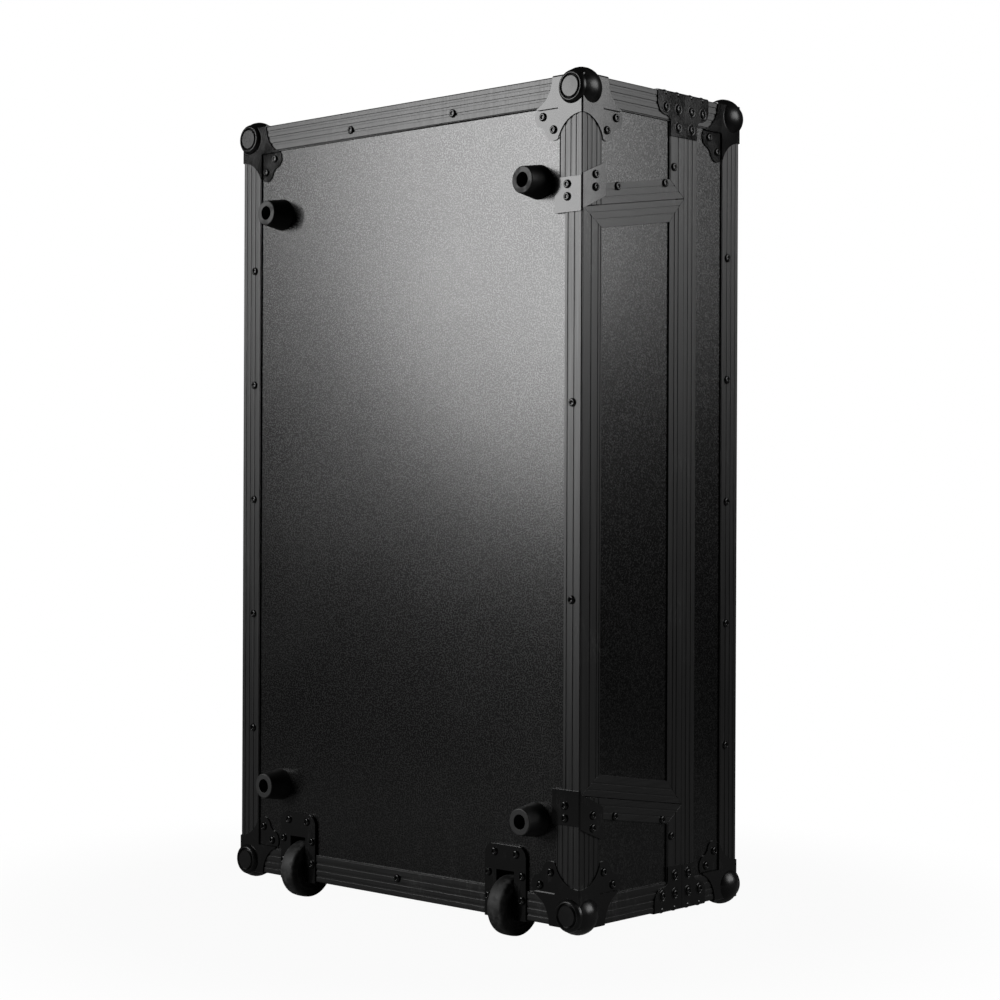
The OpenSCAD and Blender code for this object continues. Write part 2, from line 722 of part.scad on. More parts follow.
// Side view of the cup, in (y, z), with its far corner rounded
module cup_profile(d, r) {
    translate([-10, -10]) square([d + 10 - r, d + 10]);
    translate([-10, -10]) square([d + 10, d + 10 - r]);
    translate([d - r, d - r]) circle(r);
}
module housing_flange() {
    r = 11;
    h = 72.9;
    translate([-housing_w/2, -housing_t]) square([housing_w, h + housing_t - r]);
    translate([r - housing_w/2, -housing_t]) square([housing_w - 2*r, h + housing_t]);
    for (sx = [-1, 1]) translate([sx*(housing_w/2 - r), h - r]) circle(r);
}
module housing() {
    difference() {
        union() {
            rotate([90, 0, 0]) linear_extrude(housing_t) housing_flange();
            mirror([0, 0, 1]) linear_extrude(housing_t) housing_flange();
            intersection() {
                yz_slab(-slot_w/2 - housing_t, slot_w/2 + housing_t) cup_profile(cup_d, 22);
                translate([-50, -housing_t, -housing_t]) cube(100);
            }
        }
        yz_slab(-slot_w/2, slot_w/2) cup_profile(cup_in, 22 - housing_t);
        translate([-40, wheel_y, wheel_z]) rotate([0, 90, 0]) cylinder(h = 80, r = axle_r);
    }
}
module wheel_housings() { color(steel) in_case() for (s = [-1, 1]) at_wheel(s) housing(); }
housing_rivets = [[-14.7, 64.8], [14.7, 64.8], [-23, 43.5], [23, 43.5], [-23, 19.2], [23, 19.2]];
module wheel_housing_rivets() {
    for (s = [-1, 1], p = housing_rivets) at_wheel(s) {
        translate([p[0], -housing_t, p[1]]) rotate([90, 0, 0]) rivet();
        translate([p[0], p[1], -housing_t]) mirror([0, 0, 1]) rivet();
    }
}
module wheel_axles() {
    grip = slot_w/2 + housing_t;
    color(zinc) in_case() for (s = [-1, 1]) at_wheel(s) translate([0, wheel_y, wheel_z])
        rotate([0, 90, 0]) {
            translate([0, 0, -grip - 2]) cylinder(h = 2*grip + 4, r = axle_r);
            for (k = [-1, 1]) translate([0, 0, k*(grip + 1.2) - 1.2]) cylinder(h = 2.4, r = axle_head_r);
        }
}
module on_axle(s) {
    in_case() at_wheel(s) translate([0, wheel_y, wheel_z]) rotate([0, 90, 0]) children();
}
module hub() {
    color(board_black) rotate_extrude($fn = 64) difference() {
        union() {
            translate([0, -wheel_w/2 + 1.5]) square([hub_r, wheel_w - 3]);
            translate([0, -wheel_w/2 - 0.6]) square([7, wheel_w + 1.2]);
        }
        translate([-1, -20]) square([axle_r + run_gap + 1, 40]);
        for (k = [-1, 1]) translate([8.5, k*(wheel_w/2 + 1.5) - 4]) square([hub_r - 11, 8]);
    }
}
tread_crown = 1;
module tyre() {
    shoulder = 3.5;
    crown = (pow(wheel_w/2, 2) + pow(tread_crown, 2))/(2*tread_crown);
    color(rubber_black) rotate_extrude($fn = 96) difference() {
        intersection() {
            union() {
                translate([hub_r, -wheel_w/2]) square([wheel_r - shoulder - hub_r, wheel_w]);
                translate([hub_r, shoulder - wheel_w/2])
                    square([wheel_r - hub_r, wheel_w - 2*shoulder]);
                for (k = [-1, 1]) translate([wheel_r - shoulder, k*(wheel_w/2 - shoulder)])
                    circle(shoulder);
            }
            translate([wheel_r - crown, 0]) circle(crown, $fn = 240);
        }
        for (k = [-1, 1]) translate([23.2, k*wheel_w/2 - 0.5]) square([1, 1]);
    }
}
module rear_wheel_hub() { on_axle(-1) hub(); }
module rear_wheel_tyre() { on_axle(-1) tyre(); }
module front_wheel_hub() { on_axle(1) hub(); }
module front_wheel_tyre() { on_axle(1) tyre(); }

// Recessed sprung handles, one on each end face
handle_y = (edge_leg + base_dep - base_rim_w)/2;
cup_w = dish_w - 2*dish_rim;
cup_h = dish_h - 2*dish_rim;
pin_y = cup_h/2 - 17.5;
grip_y = -cup_h/2 + grip_r + 4;
pin_z = -dish_depth/2;
arm_x = cup_w/2 - 12;
arm_t = 6;
arm_w = 8;
eye_r = 6;
lug_t = 3;
lug_w = 12;
pin_head_r = 5.4;
pin_head_t = 7;
grip_len = 2*arm_x - arm_t - 2*grip_end_gap;
module at_handle(e) { in_case() on_end(e, 0, handle_y) children(); }
module handle_dish() {
    difference() {
        union() {
            translate([0, 0, -ext_t]) linear_extrude(ext_t - 0.6) rounded_rect(dish_w, dish_h, 10);
            translate([0, 0, -dish_depth - hollow_t]) linear_extrude(dish_depth + hollow_t - 0.6)
                rounded_rect(cup_w + 2*hollow_t, cup_h + 2*hollow_t, 12 + hollow_t);
        }
        translate([0, 0, -dish_depth]) linear_extrude(dish_depth + 1) rounded_rect(cup_w, cup_h, 12);
    }
    for (s = [-1, 1]) difference() {
        translate([s*(arm_x - 8.5) - lug_t/2, pin_y - lug_w/2, -dish_depth - 1])
            cube([lug_t, lug_w, dish_depth - 2]);
        translate([s*cup_w/2, pin_y, pin_z]) rotate([0, -90*s, 0]) cylinder(h = 40, r = handle_pin_r);
    }
}
module handle_dishes() { color(steel) for (e = [-1, 1]) at_handle(e) handle_dish(); }
module handle_pins() {
    color(zinc) for (e = [-1, 1]) at_handle(e) for (s = [-1, 1])
        translate([s*cup_w/2, pin_y, pin_z]) rotate([0, -90*s, 0]) {
            cylinder(h = cup_w/2 - arm_x + 12, r = handle_pin_r);
            cylinder(h = pin_head_t, r = pin_head_r);
        }
}
dish_spots = [for (sx = [-1, 1], sy = [-1, 1]) [sx*(dish_w/2 - dish_rim/2), sy*(dish_h/2 - 14)]];
module handle_dish_rivets() {
    both_ends() for (p = dish_spots) translate([p[0], handle_y + p[1], -0.6])
        scale(0.82) rivet();
}
module handle_bar() {
    color(steel) difference() {
        union() {
            for (s = [-1, 1]) translate([s*arm_x, 0, pin_z]) {
                for (y = [pin_y, grip_y]) translate([0, y, 0]) rotate([0, 90, 0])
                    cylinder(h = arm_t, r = eye_r, center = true);
                translate([0, (pin_y + grip_y)/2, 0])
                    cube([arm_t, pin_y - grip_y, arm_w], center = true);
            }
            translate([-arm_x, grip_y, pin_z]) rotate([0, 90, 0]) cylinder(h = 2*arm_x, r = bail_r);
        }
        for (s = [-1, 1]) translate([s*arm_x, pin_y, pin_z]) rotate([0, 90, 0])
            cylinder(h = 10, r = handle_pin_r + run_gap, center = true);
    }
}
module handle_grip() {
    color(rubber_black) translate([0, grip_y, pin_z]) rotate([0, 90, 0]) rotate_extrude($fn = 64)
        difference() {
            translate([bail_r, -grip_len/2]) square([grip_r - bail_r, grip_len]);
            for (k = [-5:5]) translate([grip_r - 0.7, k*9 - 1]) square([1, 2]);
        }
}
module top_handle_bar() { at_handle(1) handle_bar(); }
module top_handle_grip() { at_handle(1) handle_grip(); }
module wheel_end_handle_bar() { at_handle(-1) handle_bar(); }
module wheel_end_handle_grip() { at_handle(-1) handle_grip(); }

// Recessed twist latches, two on each end face; local origin on the parting line
module at_latch(e, s) { in_case() on_end(e, s*latch_x, base_dep) children(); }
latch_cup_w = latch_w - 2*latch_rim;
spindle_y = -30;
cam_r = 7;
cam_off = hook_pull/2;
spindle_r = 4;
hook_t = 1.8;
hook_open = -4.4;
lip_y = 15;
lip_h = latch_depth - 9.8;
tip_gap = 0.3;
module dish_half(y0, y1) {
    w = latch_cup_w;
    difference() {
        union() {
            translate([-latch_w/2, y0, -ext_t]) cube([latch_w, y1 - y0, ext_t - 0.6]);
            translate([-w/2 - hollow_t, max(y0, latch_rim - latch_base - hollow_t),
                -latch_depth - hollow_t])
                cube([w + 2*hollow_t, min(y1, latch_lid - latch_rim + hollow_t)
                    - max(y0, latch_rim - latch_base - hollow_t), latch_depth + hollow_t - 0.6]);
        }
        translate([-w/2, latch_rim - latch_base, -latch_depth])
            cube([w, latch_base + latch_lid - 2*latch_rim, latch_depth + 1]);
    }
}
module latch_dishes() {
    color(steel) for (e = [-1, 1], s = [-1, 1]) at_latch(e, s) difference() {
        union() {
            dish_half(-latch_base, -fit);
            translate([0, spindle_y, -latch_depth - 1]) cylinder(h = 2.4, r = 9);
        }
        translate([0, spindle_y, -latch_depth - 5]) cylinder(h = 10, r = spindle_r + run_gap);
    }
}
module keeper_dishes() {
    color(steel) for (e = [-1, 1], s = [-1, 1]) at_latch(e, s) {
        dish_half(seam, latch_lid);
        translate([-hook_w/2 - 3, lip_y, -latch_depth - 1]) cube([hook_w + 6, 2, lip_h + 1]);
    }
}
module latch_dish_rivets() {
    for (e = [-1, 1], s = [-1, 1]) on_end(e, s*latch_x, base_dep)
        for (k = [-1, 1], y = [-latch_base + 8, -16])
            translate([k*(latch_w - latch_rim)/2, y, -0.6]) scale(0.55) rivet();
}
module keeper_dish_rivets() {
    for (e = [-1, 1], s = [-1, 1]) on_end(e, s*latch_x, base_dep)
        for (k = [-1, 1]) translate([k*(latch_w - latch_rim)/2, latch_lid - 8, -0.6])
            scale(0.55) rivet();
}
head_w = 8;
head_y = 7;
pin_top = -2.2;
// The turning spindle with its cam and the slotted head that carries the wing
module spindle() {
    color(zinc) translate([0, spindle_y, 0]) {
        translate([0, 0, -latch_depth - hollow_t]) cylinder(h = latch_depth - 2.4, r = spindle_r);
        translate([0, cam_off, 1.7 - latch_depth]) cylinder(h = latch_depth - 5.6, r = cam_r);
        translate([-head_w/2, -head_y/2, -4]) cube([head_w, head_y, 3.4]);
        translate([-head_w/2 - 4, 0, pin_top]) rotate([0, 90, 0]) cylinder(h = head_w + 8, r = 0.9);
    }
}
// The folding wing, lying flat on the side away from the lid
module wing() {
    color(steel) translate([0, spindle_y, 0]) difference() {
        union() {
            translate([0, 0, -3.4]) linear_extrude(2.4) intersection() {
                circle(wing_r, $fn = 96);
                translate([-wing_r, -wing_r]) square([2*wing_r, wing_r - 1.6]);
            }
            for (s = [-1, 1]) translate([s*(head_w/2 + 2.2), 0, pin_top]) rotate([0, 90, 0])
                cylinder(h = 3.6, r = 1.5, center = true, $fn = 24);
            for (s = [-1, 1]) translate([s*(head_w/2 + 2.2) - 1.8, -3, -3.4]) cube([3.6, 3, 2.4]);
        }
        translate([-head_w/2 - 0.3, -head_y/2 - 0.7, -5]) cube([head_w + 0.6, 10, 6]);
        translate([-20, 0, pin_top]) rotate([0, 90, 0]) cylinder(h = 40, r = 0.9 + run_gap);
        translate([0, -13.5, -5]) linear_extrude(6) rounded_rect(24, 8, 3.9);
    }
}
// The hook plate: window round the cam, neck over the parting line, bent tip
module hook() {
    window_x = 2*(cam_r + cam_off) + 1;
    window_y = 2*cam_r + 2.4;
    top = hook_open;
    tip_y = lip_y + 2 + tip_gap + hook_pull;
    tip_z = hook_drop + 0.4 - latch_depth;
    mid_y = spindle_y + cam_off;
    color(zinc) difference() {
        union() {
            translate([-window_x/2 - 4, mid_y - window_y/2 - 4, top - hook_t])
                cube([window_x + 8, window_y + 8, hook_t]);
            translate([-hook_w/2, mid_y, top - hook_t]) cube([hook_w, tip_y + 2 - mid_y, hook_t]);
            translate([-hook_w/2, tip_y, tip_z]) cube([hook_w, 2, top - tip_z]);
        }
        translate([-window_x/2, mid_y - window_y/2, top - 10]) cube([window_x, window_y, 20]);
    }
}
module top_rear_spindle() { at_latch(1, -1) spindle(); }
module top_rear_wing() { at_latch(1, -1) wing(); }
module top_rear_hook() { at_latch(1, -1) hook(); }
module top_front_spindle() { at_latch(1, 1) spindle(); }
module top_front_wing() { at_latch(1, 1) wing(); }
module top_front_hook() { at_latch(1, 1) hook(); }
module low_rear_spindle() { at_latch(-1, -1) spindle(); }
module low_rear_wing() { at_latch(-1, -1) wing(); }
module low_rear_hook() { at_latch(-1, -1) hook(); }
module low_front_spindle() { at_latch(-1, 1) spindle(); }
module low_front_wing() { at_latch(-1, 1) wing(); }
module low_front_hook() { at_latch(-1, 1) hook(); }

// Lid boards and extrusions
module lid_top_board() {
    color(board_black) in_case() board(ext_t - half_w, half_w - ext_t,
        case_dep - wall_t, case_dep - ext_t, ext_t, case_len - ext_t);
}
module lid_long_board(s) {
    x0 = s > 0 ? half_w - wall_t : ext_t - half_w;
    color(board_black) in_case() board(x0, x0 + board_t, lid_y + lid_bar_h, case_dep - wall_t,
        wall_t, case_len - wall_t);
}
module lid_rear_board() { lid_long_board(-1); }
module lid_front_board() { lid_long_board(1); }
module lid_end_boards() {
    color(board_black) in_case() both_ends() difference() {
        board(ext_t - half_w, half_w - ext_t, lid_y + lid_bar_h, case_dep - wall_t, -wall_t, -ext_t);
        for (s = [-1, 1]) translate([s*latch_x, base_dep, 0]) latch_cut();
    }
}
module lid_edge_extrusions() {
    color(satin_black) in_case() {
        edge_loop(1);
        at_corner(1, 1, -1) translate([0, 0, edge_leg]) angle_bar(case_len - 2*edge_leg);
    }
}
module lid_corner_posts() {
    len = lid_dep - seam - lid_rim_w - fit - edge_leg;
    color(satin_black) in_case() for (sx = [-1, 1], sz = [-1, 1])
        at_corner(sx, 1, sz) translate([0, edge_leg, 0])
            rotate([-90, 0, 0]) mirror([0, 1, 0]) angle_bar(len);
}
module lid_rim_extrusions() {
    groove_in = tongue_in - tongue_gap;
    color(satin_black) in_case() difference() {
        union() {
            ring(0, ext_t, lid_y, lid_y + lid_rim_w);
            ring(0, wall_t + hollow_t, lid_y, lid_y + lid_bar_h);
            ring(wall_t, wall_t + hollow_t, lid_y, lid_y + 16);
        }
        ring(groove_in, groove_in + tongue_t + 2*tongue_gap, lid_y - 1, lid_y + groove_h);
        rim_channels(lid_y, [5.6, 12.8]);
        mitres(lid_y - 1, lid_y + lid_rim_w + 1);
        both_ends() for (s = [-1, 1]) translate([s*latch_x, base_dep, 0]) latch_window();
    }
}

// Removable front panel
panel_y0 = ext_t + 0.3;
panel_bar = side_tongue + 2.6;
module front_panel_board() {
    d = panel_gap + panel_bar;
    color(board_black) in_case() front_slab(ext_t, wall_t)
        polygon(trapezoid(d, panel_y0 + hollow_t, base_dep - ext_t));
}
module panel_frame() {
    g = panel_gap;
    w = panel_strip_w;
    y1 = base_dep;
    front_slab(0, ext_t) difference() {
        polygon(trapezoid(g, panel_y0, y1));
        polygon(trapezoid(g + w, panel_y0 + panel_foot_w, y1 - base_rim_w));
    }
    front_slab(ext_t, wall_t) difference() {
        polygon(trapezoid(g, panel_y0, y1));
        polygon(trapezoid(g + panel_bar, panel_y0 + hollow_t, y1 - ext_t));
    }
    front_slab(tongue_in, tongue_in + tongue_t) polygon(trapezoid(g + 12, y1 - ext_t, y1 + tongue_h));
}
module front_panel_strips() {
    g = panel_gap;
    groove = tongue_in - tongue_gap;
    color(satin_black) in_case() difference() {
        panel_frame();
        front_slab(groove, groove + tongue_t + 2*tongue_gap) difference() {
            polygon(trapezoid(g - 2, wall_t, base_dep));
            polygon(trapezoid(g + side_tongue + 0.4, 0, base_dep + 1));
        }
        front_slab(-1, channel_depth) {
            for (e = [0, 1]) translate([0, e*case_len]) mirror([0, e]) intersection() {
                polygon(panel_end_outline());
                for (d = [6.1, 13.2]) difference() {
                    polygon(trapezoid(g + d, -1, base_dep + 1));
                    polygon(trapezoid(g + d + 1.4, -2, base_dep + 2));
                }
            }
            for (b = [[9.9, 2.6], [22, 0.9], [25.7, 0.9]]) polygon(panel_band(panel_y0 + b[0], b[1]));
            for (b = [[8.6, 1.4], [15, 1.4]]) polygon(rim_band(base_dep - b[0] - b[1], b[1]));
        }
        for (e = [0, 1]) translate([0, 0, mid_z]) mirror([0, 0, e]) translate([0, 0, -mid_z]) {
            panel_mitre(panel_y0, panel_foot_w);
            panel_mitre(base_dep, -base_rim_w);
        }
    }
}
// Z of the panel's lower and upper mitre lines at depth y
function low_mitre(y) = cheek(panel_y0) + panel_gap + (y - panel_y0)/panel_foot_w
    *(cheek(panel_y0 + panel_foot_w) - cheek(panel_y0) + panel_strip_w);
function high_mitre(y) = cheek(base_dep) + panel_gap + (base_dep - y)/base_rim_w
    *(cheek(base_dep - base_rim_w) - cheek(base_dep) + panel_strip_w);
function panel_end_outline() = [
    [panel_y0, low_mitre(panel_y0)], [panel_y0 + panel_foot_w, low_mitre(panel_y0 + panel_foot_w)],
    [base_dep - base_rim_w, high_mitre(base_dep - base_rim_w)], [base_dep, high_mitre(base_dep)]];
// Channels along the panel's lower and rim strips, dy wide from y up
function panel_band(y, dy) = [[y, low_mitre(y)], [y + dy, low_mitre(y + dy)],
    [y + dy, case_len - low_mitre(y + dy)], [y, case_len - low_mitre(y)]];
function rim_band(y, dy) = [[y, high_mitre(y)], [y + dy, high_mitre(y + dy)],
    [y + dy, case_len - high_mitre(y + dy)], [y, case_len - high_mitre(y)]];
// A thin cut from the panel's outer corner at y to the inner corner of its frame
module panel_mitre(y, dy) {
    z0 = cheek(y) + panel_gap;
    z1 = cheek(y + dy) + panel_gap + panel_strip_w;
    k = (z1 - z0)/dy;
    o = dy > 0 ? -1 : 1;
    front_slab(-1, wall_t + 1) polygon([[y + o, z0 + o*k], [y + dy, z1], [y + dy, z1 + 0.24],
        [y + o, z0 + o*k + 0.24]]);
}

// Foam linings
foam_gap = 0.3;
panel_foam_t = 8;
module base_floor_foam() {
    color(foam_grey) in_case() board(wall_t + wall_foam_t + foam_gap - half_w,
        half_w - wall_t - panel_foam_t - foam_gap, wall_t, wall_t + floor_foam_t,
        cup_d + 1.5, case_len - dish_depth - hollow_t - 1);
}
module base_wall_foam() {
    y0 = wall_t;
    y1 = base_dep - latch_base - 2;
    x0 = dish_w/2 + 4;
    x1 = half_w - wall_t - wall_foam_t - foam_gap;
    color(foam_grey) in_case() {
        board(wall_t - half_w, wall_t + wall_foam_t - half_w, y0, base_dep - 16,
            wall_t, case_len - wall_t);
        for (s = [-1, 1]) {
            on_end(1, 0, 0) translate([s > 0 ? x0 : -x1, y0, -wall_t - wall_foam_t])
                cube([x1 - x0, y1 - y0, wall_foam_t]);
            on_end(-1, 0, 0) translate([s > 0 ? x0 : -x1, cup_d + 2, -wall_t - wall_foam_t])
                cube([x1 - x0, y1 - cup_d - 2, wall_foam_t]);
        }
    }
}
module lid_foam() {
    color(foam_grey) in_case() board(wall_t - half_w, half_w - wall_t,
        case_dep - wall_t - lid_foam_t, case_dep - wall_t, wall_t, case_len - wall_t);
}
module front_panel_foam() {
    color(foam_grey) in_case() front_slab(wall_t, wall_t + panel_foam_t)
        polygon(trapezoid(panel_gap + 14, wall_t + floor_foam_t + 2, base_dep - 6));
}

bottom_board();
rear_board();
top_end_board();
wheel_end_board();
cheek_boards();
bottom_edge_extrusions();
base_corner_posts();
base_rim_extrusions();
opening_frame_strips();
sill_strip();
opening_brackets();
base_corner_braces();
base_ball_corners();
rubber_feet();
foot_screws();
wheel_housings();
wheel_axles();
base_rivets();
handle_dishes();
handle_pins();
latch_dishes();
base_floor_foam();
base_wall_foam();
lid_top_board();
lid_rear_board();
lid_front_board();
lid_end_boards();
lid_edge_extrusions();
lid_corner_posts();
lid_rim_extrusions();
lid_corner_braces();
lid_ball_corners();
lid_rivets();
keeper_dishes();
lid_foam();
front_panel_board();
front_panel_strips();
front_panel_foam();
rear_wheel_hub();
rear_wheel_tyre();
front_wheel_hub();
front_wheel_tyre();
top_handle_bar();
top_handle_grip();
wheel_end_handle_bar();
wheel_end_handle_grip();
top_rear_spindle();
top_rear_wing();
top_rear_hook();
top_front_spindle();
top_front_wing();
top_front_hook();
low_rear_spindle();
low_rear_wing();
low_rear_hook();
low_front_spindle();
low_front_wing();
low_front_hook();
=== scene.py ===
"""Coffin-style flight case, stood on its wheel end: finishes, fine pieces, camera and light."""
import bpy
import bmesh
import json
import math
from mathutils import Matrix, Vector


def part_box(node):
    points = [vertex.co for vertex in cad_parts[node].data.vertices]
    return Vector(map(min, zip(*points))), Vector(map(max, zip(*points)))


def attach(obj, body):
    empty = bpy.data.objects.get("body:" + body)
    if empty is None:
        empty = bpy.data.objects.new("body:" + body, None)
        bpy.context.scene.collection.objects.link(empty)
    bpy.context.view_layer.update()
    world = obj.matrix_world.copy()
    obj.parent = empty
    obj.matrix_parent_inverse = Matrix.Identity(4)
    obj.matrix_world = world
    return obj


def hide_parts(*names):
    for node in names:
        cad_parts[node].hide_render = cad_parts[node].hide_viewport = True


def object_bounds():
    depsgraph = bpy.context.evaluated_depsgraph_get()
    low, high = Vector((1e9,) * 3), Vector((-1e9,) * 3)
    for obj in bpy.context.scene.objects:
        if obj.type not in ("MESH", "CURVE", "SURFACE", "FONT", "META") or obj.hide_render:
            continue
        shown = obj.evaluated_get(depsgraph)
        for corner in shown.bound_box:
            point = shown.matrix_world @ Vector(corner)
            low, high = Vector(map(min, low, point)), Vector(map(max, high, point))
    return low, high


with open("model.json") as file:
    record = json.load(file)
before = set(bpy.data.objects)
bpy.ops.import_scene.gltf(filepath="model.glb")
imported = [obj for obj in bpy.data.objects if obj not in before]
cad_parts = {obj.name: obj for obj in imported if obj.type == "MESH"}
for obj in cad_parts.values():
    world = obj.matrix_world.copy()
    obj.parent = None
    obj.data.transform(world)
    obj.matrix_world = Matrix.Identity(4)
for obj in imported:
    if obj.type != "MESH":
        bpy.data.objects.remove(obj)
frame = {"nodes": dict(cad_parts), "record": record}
cad_box = [list(corner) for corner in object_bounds()]
NODES = frame["nodes"]
BODY = {n: b for b, names in frame["record"]["behaviour"]["bodies"].items() for n in names}
SLOT = {p["node"]: p["material_slot"] for p in frame["record"]["subparts"]}
MM = 0.001


# The photograph's viewing angle, solved from the case's edges and rivets

CAMERA_TURN = (42.591, -0.044, 0.248)       # yaw, pitch and roll in degrees
CAMERA_PLACE = (1.6202, -1.7245, 0.4428)
CAMERA_LENS = 77.48
SENSOR_WIDTH = 36
CLIP_START, CLIP_END = 0.05, 60


def photo_camera():
    """Places the camera where the photograph was taken."""
    yaw, pitch, roll = (math.radians(a) for a in CAMERA_TURN)
    ahead = Vector((-math.sin(yaw)*math.cos(pitch), math.cos(yaw)*math.cos(pitch), math.sin(pitch)))
    level = Vector((math.cos(yaw), math.sin(yaw), 0))
    over = level.cross(ahead)
    right = level*math.cos(roll) + over*math.sin(roll)
    up = over*math.cos(roll) - level*math.sin(roll)
    data = bpy.data.cameras.new("photo camera")
    data.sensor_width = SENSOR_WIDTH
    data.lens = CAMERA_LENS
    data.clip_start = CLIP_START
    data.clip_end = CLIP_END
    cam = bpy.data.objects.new("photo camera", data)
    place = Matrix((right, up, -ahead)).transposed().to_4x4()
    place.translation = CAMERA_PLACE
    cam.matrix_world = place
    bpy.context.scene.collection.objects.link(cam)
    bpy.context.scene.camera = cam


# Small makers for node trees

FLOAT, VECTOR = "NodeSocketFloat", "NodeSocketVector"
INTEGER, MATERIAL = "NodeSocketInt", "NodeSocketMaterial"
GEOMETRY = "NodeSocketGeometry"


class Wires:
    """Adds nodes to a tree and joins them; a value may be a number or another node's socket."""

    ACROSS, DOWN, IN_ROW = 190, 230, 9      # how the nodes are laid out in the editor

    def __init__(self, tree):
        self.tree = tree
        self.count = 0

    def add(self, kind, inputs=None, **props):
        """Adds a node, sets its properties and fills its inputs."""
        node = self.tree.nodes.new(kind)
        row, column = divmod(self.count, self.IN_ROW)
        node.location = (self.ACROSS*column, -self.DOWN*row)
        self.count += 1
        for key, value in props.items():
            setattr(node, key, value)
        for key, value in (inputs or {}).items():
            if isinstance(value, bpy.types.NodeSocket):
                self.tree.links.new(value, node.inputs[key])
            else:
                node.inputs[key].default_value = value
        return node

    def math(self, op, a, b=0.0, c=0.0):
        """One step of arithmetic."""
        return self.add("ShaderNodeMath", {0: a, 1: b, 2: c}, operation=op).outputs[0]

    def mix(self, amount, a, b):
        """Mixes two colours."""
        return self.add("ShaderNodeMix", {0: amount, 6: a, 7: b}, data_type="RGBA").outputs[2]

    def span(self, value, low, high, to_low=0.0, to_high=1.0):
        """Maps low..high onto another span, with soft ends."""
        return self.add("ShaderNodeMapRange", {0: value, 1: low, 2: high, 3: to_low, 4: to_high},
                        interpolation_type="SMOOTHSTEP").outputs[0]

    def noise(self, vector, scale, detail, roughness=0.5):
        """Cloudy noise between 0 and 1; scale is in waves to the metre."""
        return self.add("ShaderNodeTexNoise", {"Vector": vector, "Scale": scale, "Detail": detail,
                                               "Roughness": roughness}).outputs["Fac"]


def effect_group(name, ins, outs):
    """An empty shader group with named sockets: the tree, its wires, its inputs and outputs."""
    tree = bpy.data.node_groups.new(name, "ShaderNodeTree")
    for label, kind, default in ins:
        socket = tree.interface.new_socket(label, in_out="INPUT", socket_type=kind)
        socket.default_value = default
    for label, kind in outs:
        tree.interface.new_socket(label, in_out="OUTPUT", socket_type=kind)
    wires = Wires(tree)
    return tree, wires, wires.add("NodeGroupInput").outputs, wires.add("NodeGroupOutput").inputs


def grey(tone):
    """A neutral colour."""
    return (tone, tone, tone, 1)


# Effects that several finishes share

def pebble_effect():
    """Fine closed pebbles, as on a pressed laminate or a powder coat."""
    ins = [("Vector", VECTOR, (0, 0, 0)), ("Size mm", FLOAT, 1.0), ("Unevenness", FLOAT, 0.4)]
    outs = [("Height", FLOAT), ("Speck", FLOAT)]
    tree, w, i, o = effect_group("pebble grain", ins, outs)
    scale = w.math("DIVIDE", 1000.0, i["Size mm"])
    cells = w.add("ShaderNodeTexVoronoi",
                  {"Vector": i["Vector"], "Scale": scale, "Smoothness": 0.6}, feature="SMOOTH_F1")
    noise = w.noise(i["Vector"], w.math("MULTIPLY", scale, 0.45), detail=3.0)
    dome = w.span(cells.outputs["Distance"], 0.05, 0.75, 1.0, 0.0)
    mixed = w.math("MULTIPLY_ADD", w.math("SUBTRACT", noise, 0.5), i["Unevenness"], dome)
    w.tree.links.new(mixed, o["Height"])
    w.tree.links.new(w.span(noise, 0.35, 0.65), o["Speck"])
    return tree


def handling_effect():
    """Soft cloudy marks and thin scuffs that handling leaves."""
    ins = [("Vector", VECTOR, (0, 0, 0)), ("Cloud size m", FLOAT, 0.12),
           ("Scuff size m", FLOAT, 0.02)]
    outs = [("Clouds", FLOAT), ("Scuffs", FLOAT)]
    tree, w, i, o = effect_group("handling marks", ins, outs)
    clouds = w.noise(i["Vector"], w.math("DIVIDE", 1.0, i["Cloud size m"]),
                     detail=4.0, roughness=0.55)
    stretch = w.add("ShaderNodeMapping", {"Vector": i["Vector"], "Scale": (1.0, 1.0, 0.22)})
    streaks = w.noise(stretch.outputs[0], w.math("DIVIDE", 1.0, i["Scuff size m"]),
                      detail=6.0, roughness=0.7)
    thin = w.math("ABSOLUTE", w.math("SUBTRACT", streaks, 0.5))
    w.tree.links.new(w.span(clouds, 0.3, 0.7), o["Clouds"])
    w.tree.links.new(w.math("MULTIPLY", w.span(thin, 0.0, 0.02, 1.0, 0.0),
                            w.span(clouds, 0.52, 0.66)), o["Scuffs"])
    return tree


PEBBLES = pebble_effect()
MARKS = handling_effect()


# Finishes

def finish_maker(name, tone, roughness, **plain):
    """A material with its Principled shader; plain values are set on the shader's own sockets.
    The tone and the roughness hold where no other node feeds them."""
    mat = bpy.data.materials.new(name)
    mat.use_nodes = True
    mat.node_tree.nodes.clear()
    w = Wires(mat.node_tree)
    shader = w.add("ShaderNodeBsdfPrincipled", {"Base Color": grey(tone), "Roughness": roughness})
    for key, value in plain.items():
        shader.inputs[key.replace("_", " ")].default_value = value
    w.add("ShaderNodeOutputMaterial", {"Surface": shader.outputs[0]})
    return mat, w, shader, w.add("ShaderNodeTexCoord").outputs["Object"]


def use(w, tree, **inputs):
    """Places an effect group in a material."""
    named = {key.replace("_", " "): value for key, value in inputs.items()}
    return w.add("ShaderNodeGroup", named, node_tree=tree).outputs


def painted(w, shader, amount, low, high):
    """Gives the shader a colour that goes from low to high with the amount."""
    w.tree.links.new(w.mix(amount, low, high), shader.inputs["Base Color"])


def scuffed(w, shader, marks, colour, pale, share):
    """Gives the shader a colour that turns pale, by a share, where the thin scuffs are."""
    painted(w, shader, w.math("MULTIPLY", marks["Scuffs"], share), colour, grey(pale))


def roughened(w, shader, value):
    """Feeds a value into the shader's roughness."""
    w.tree.links.new(value, shader.inputs["Roughness"])


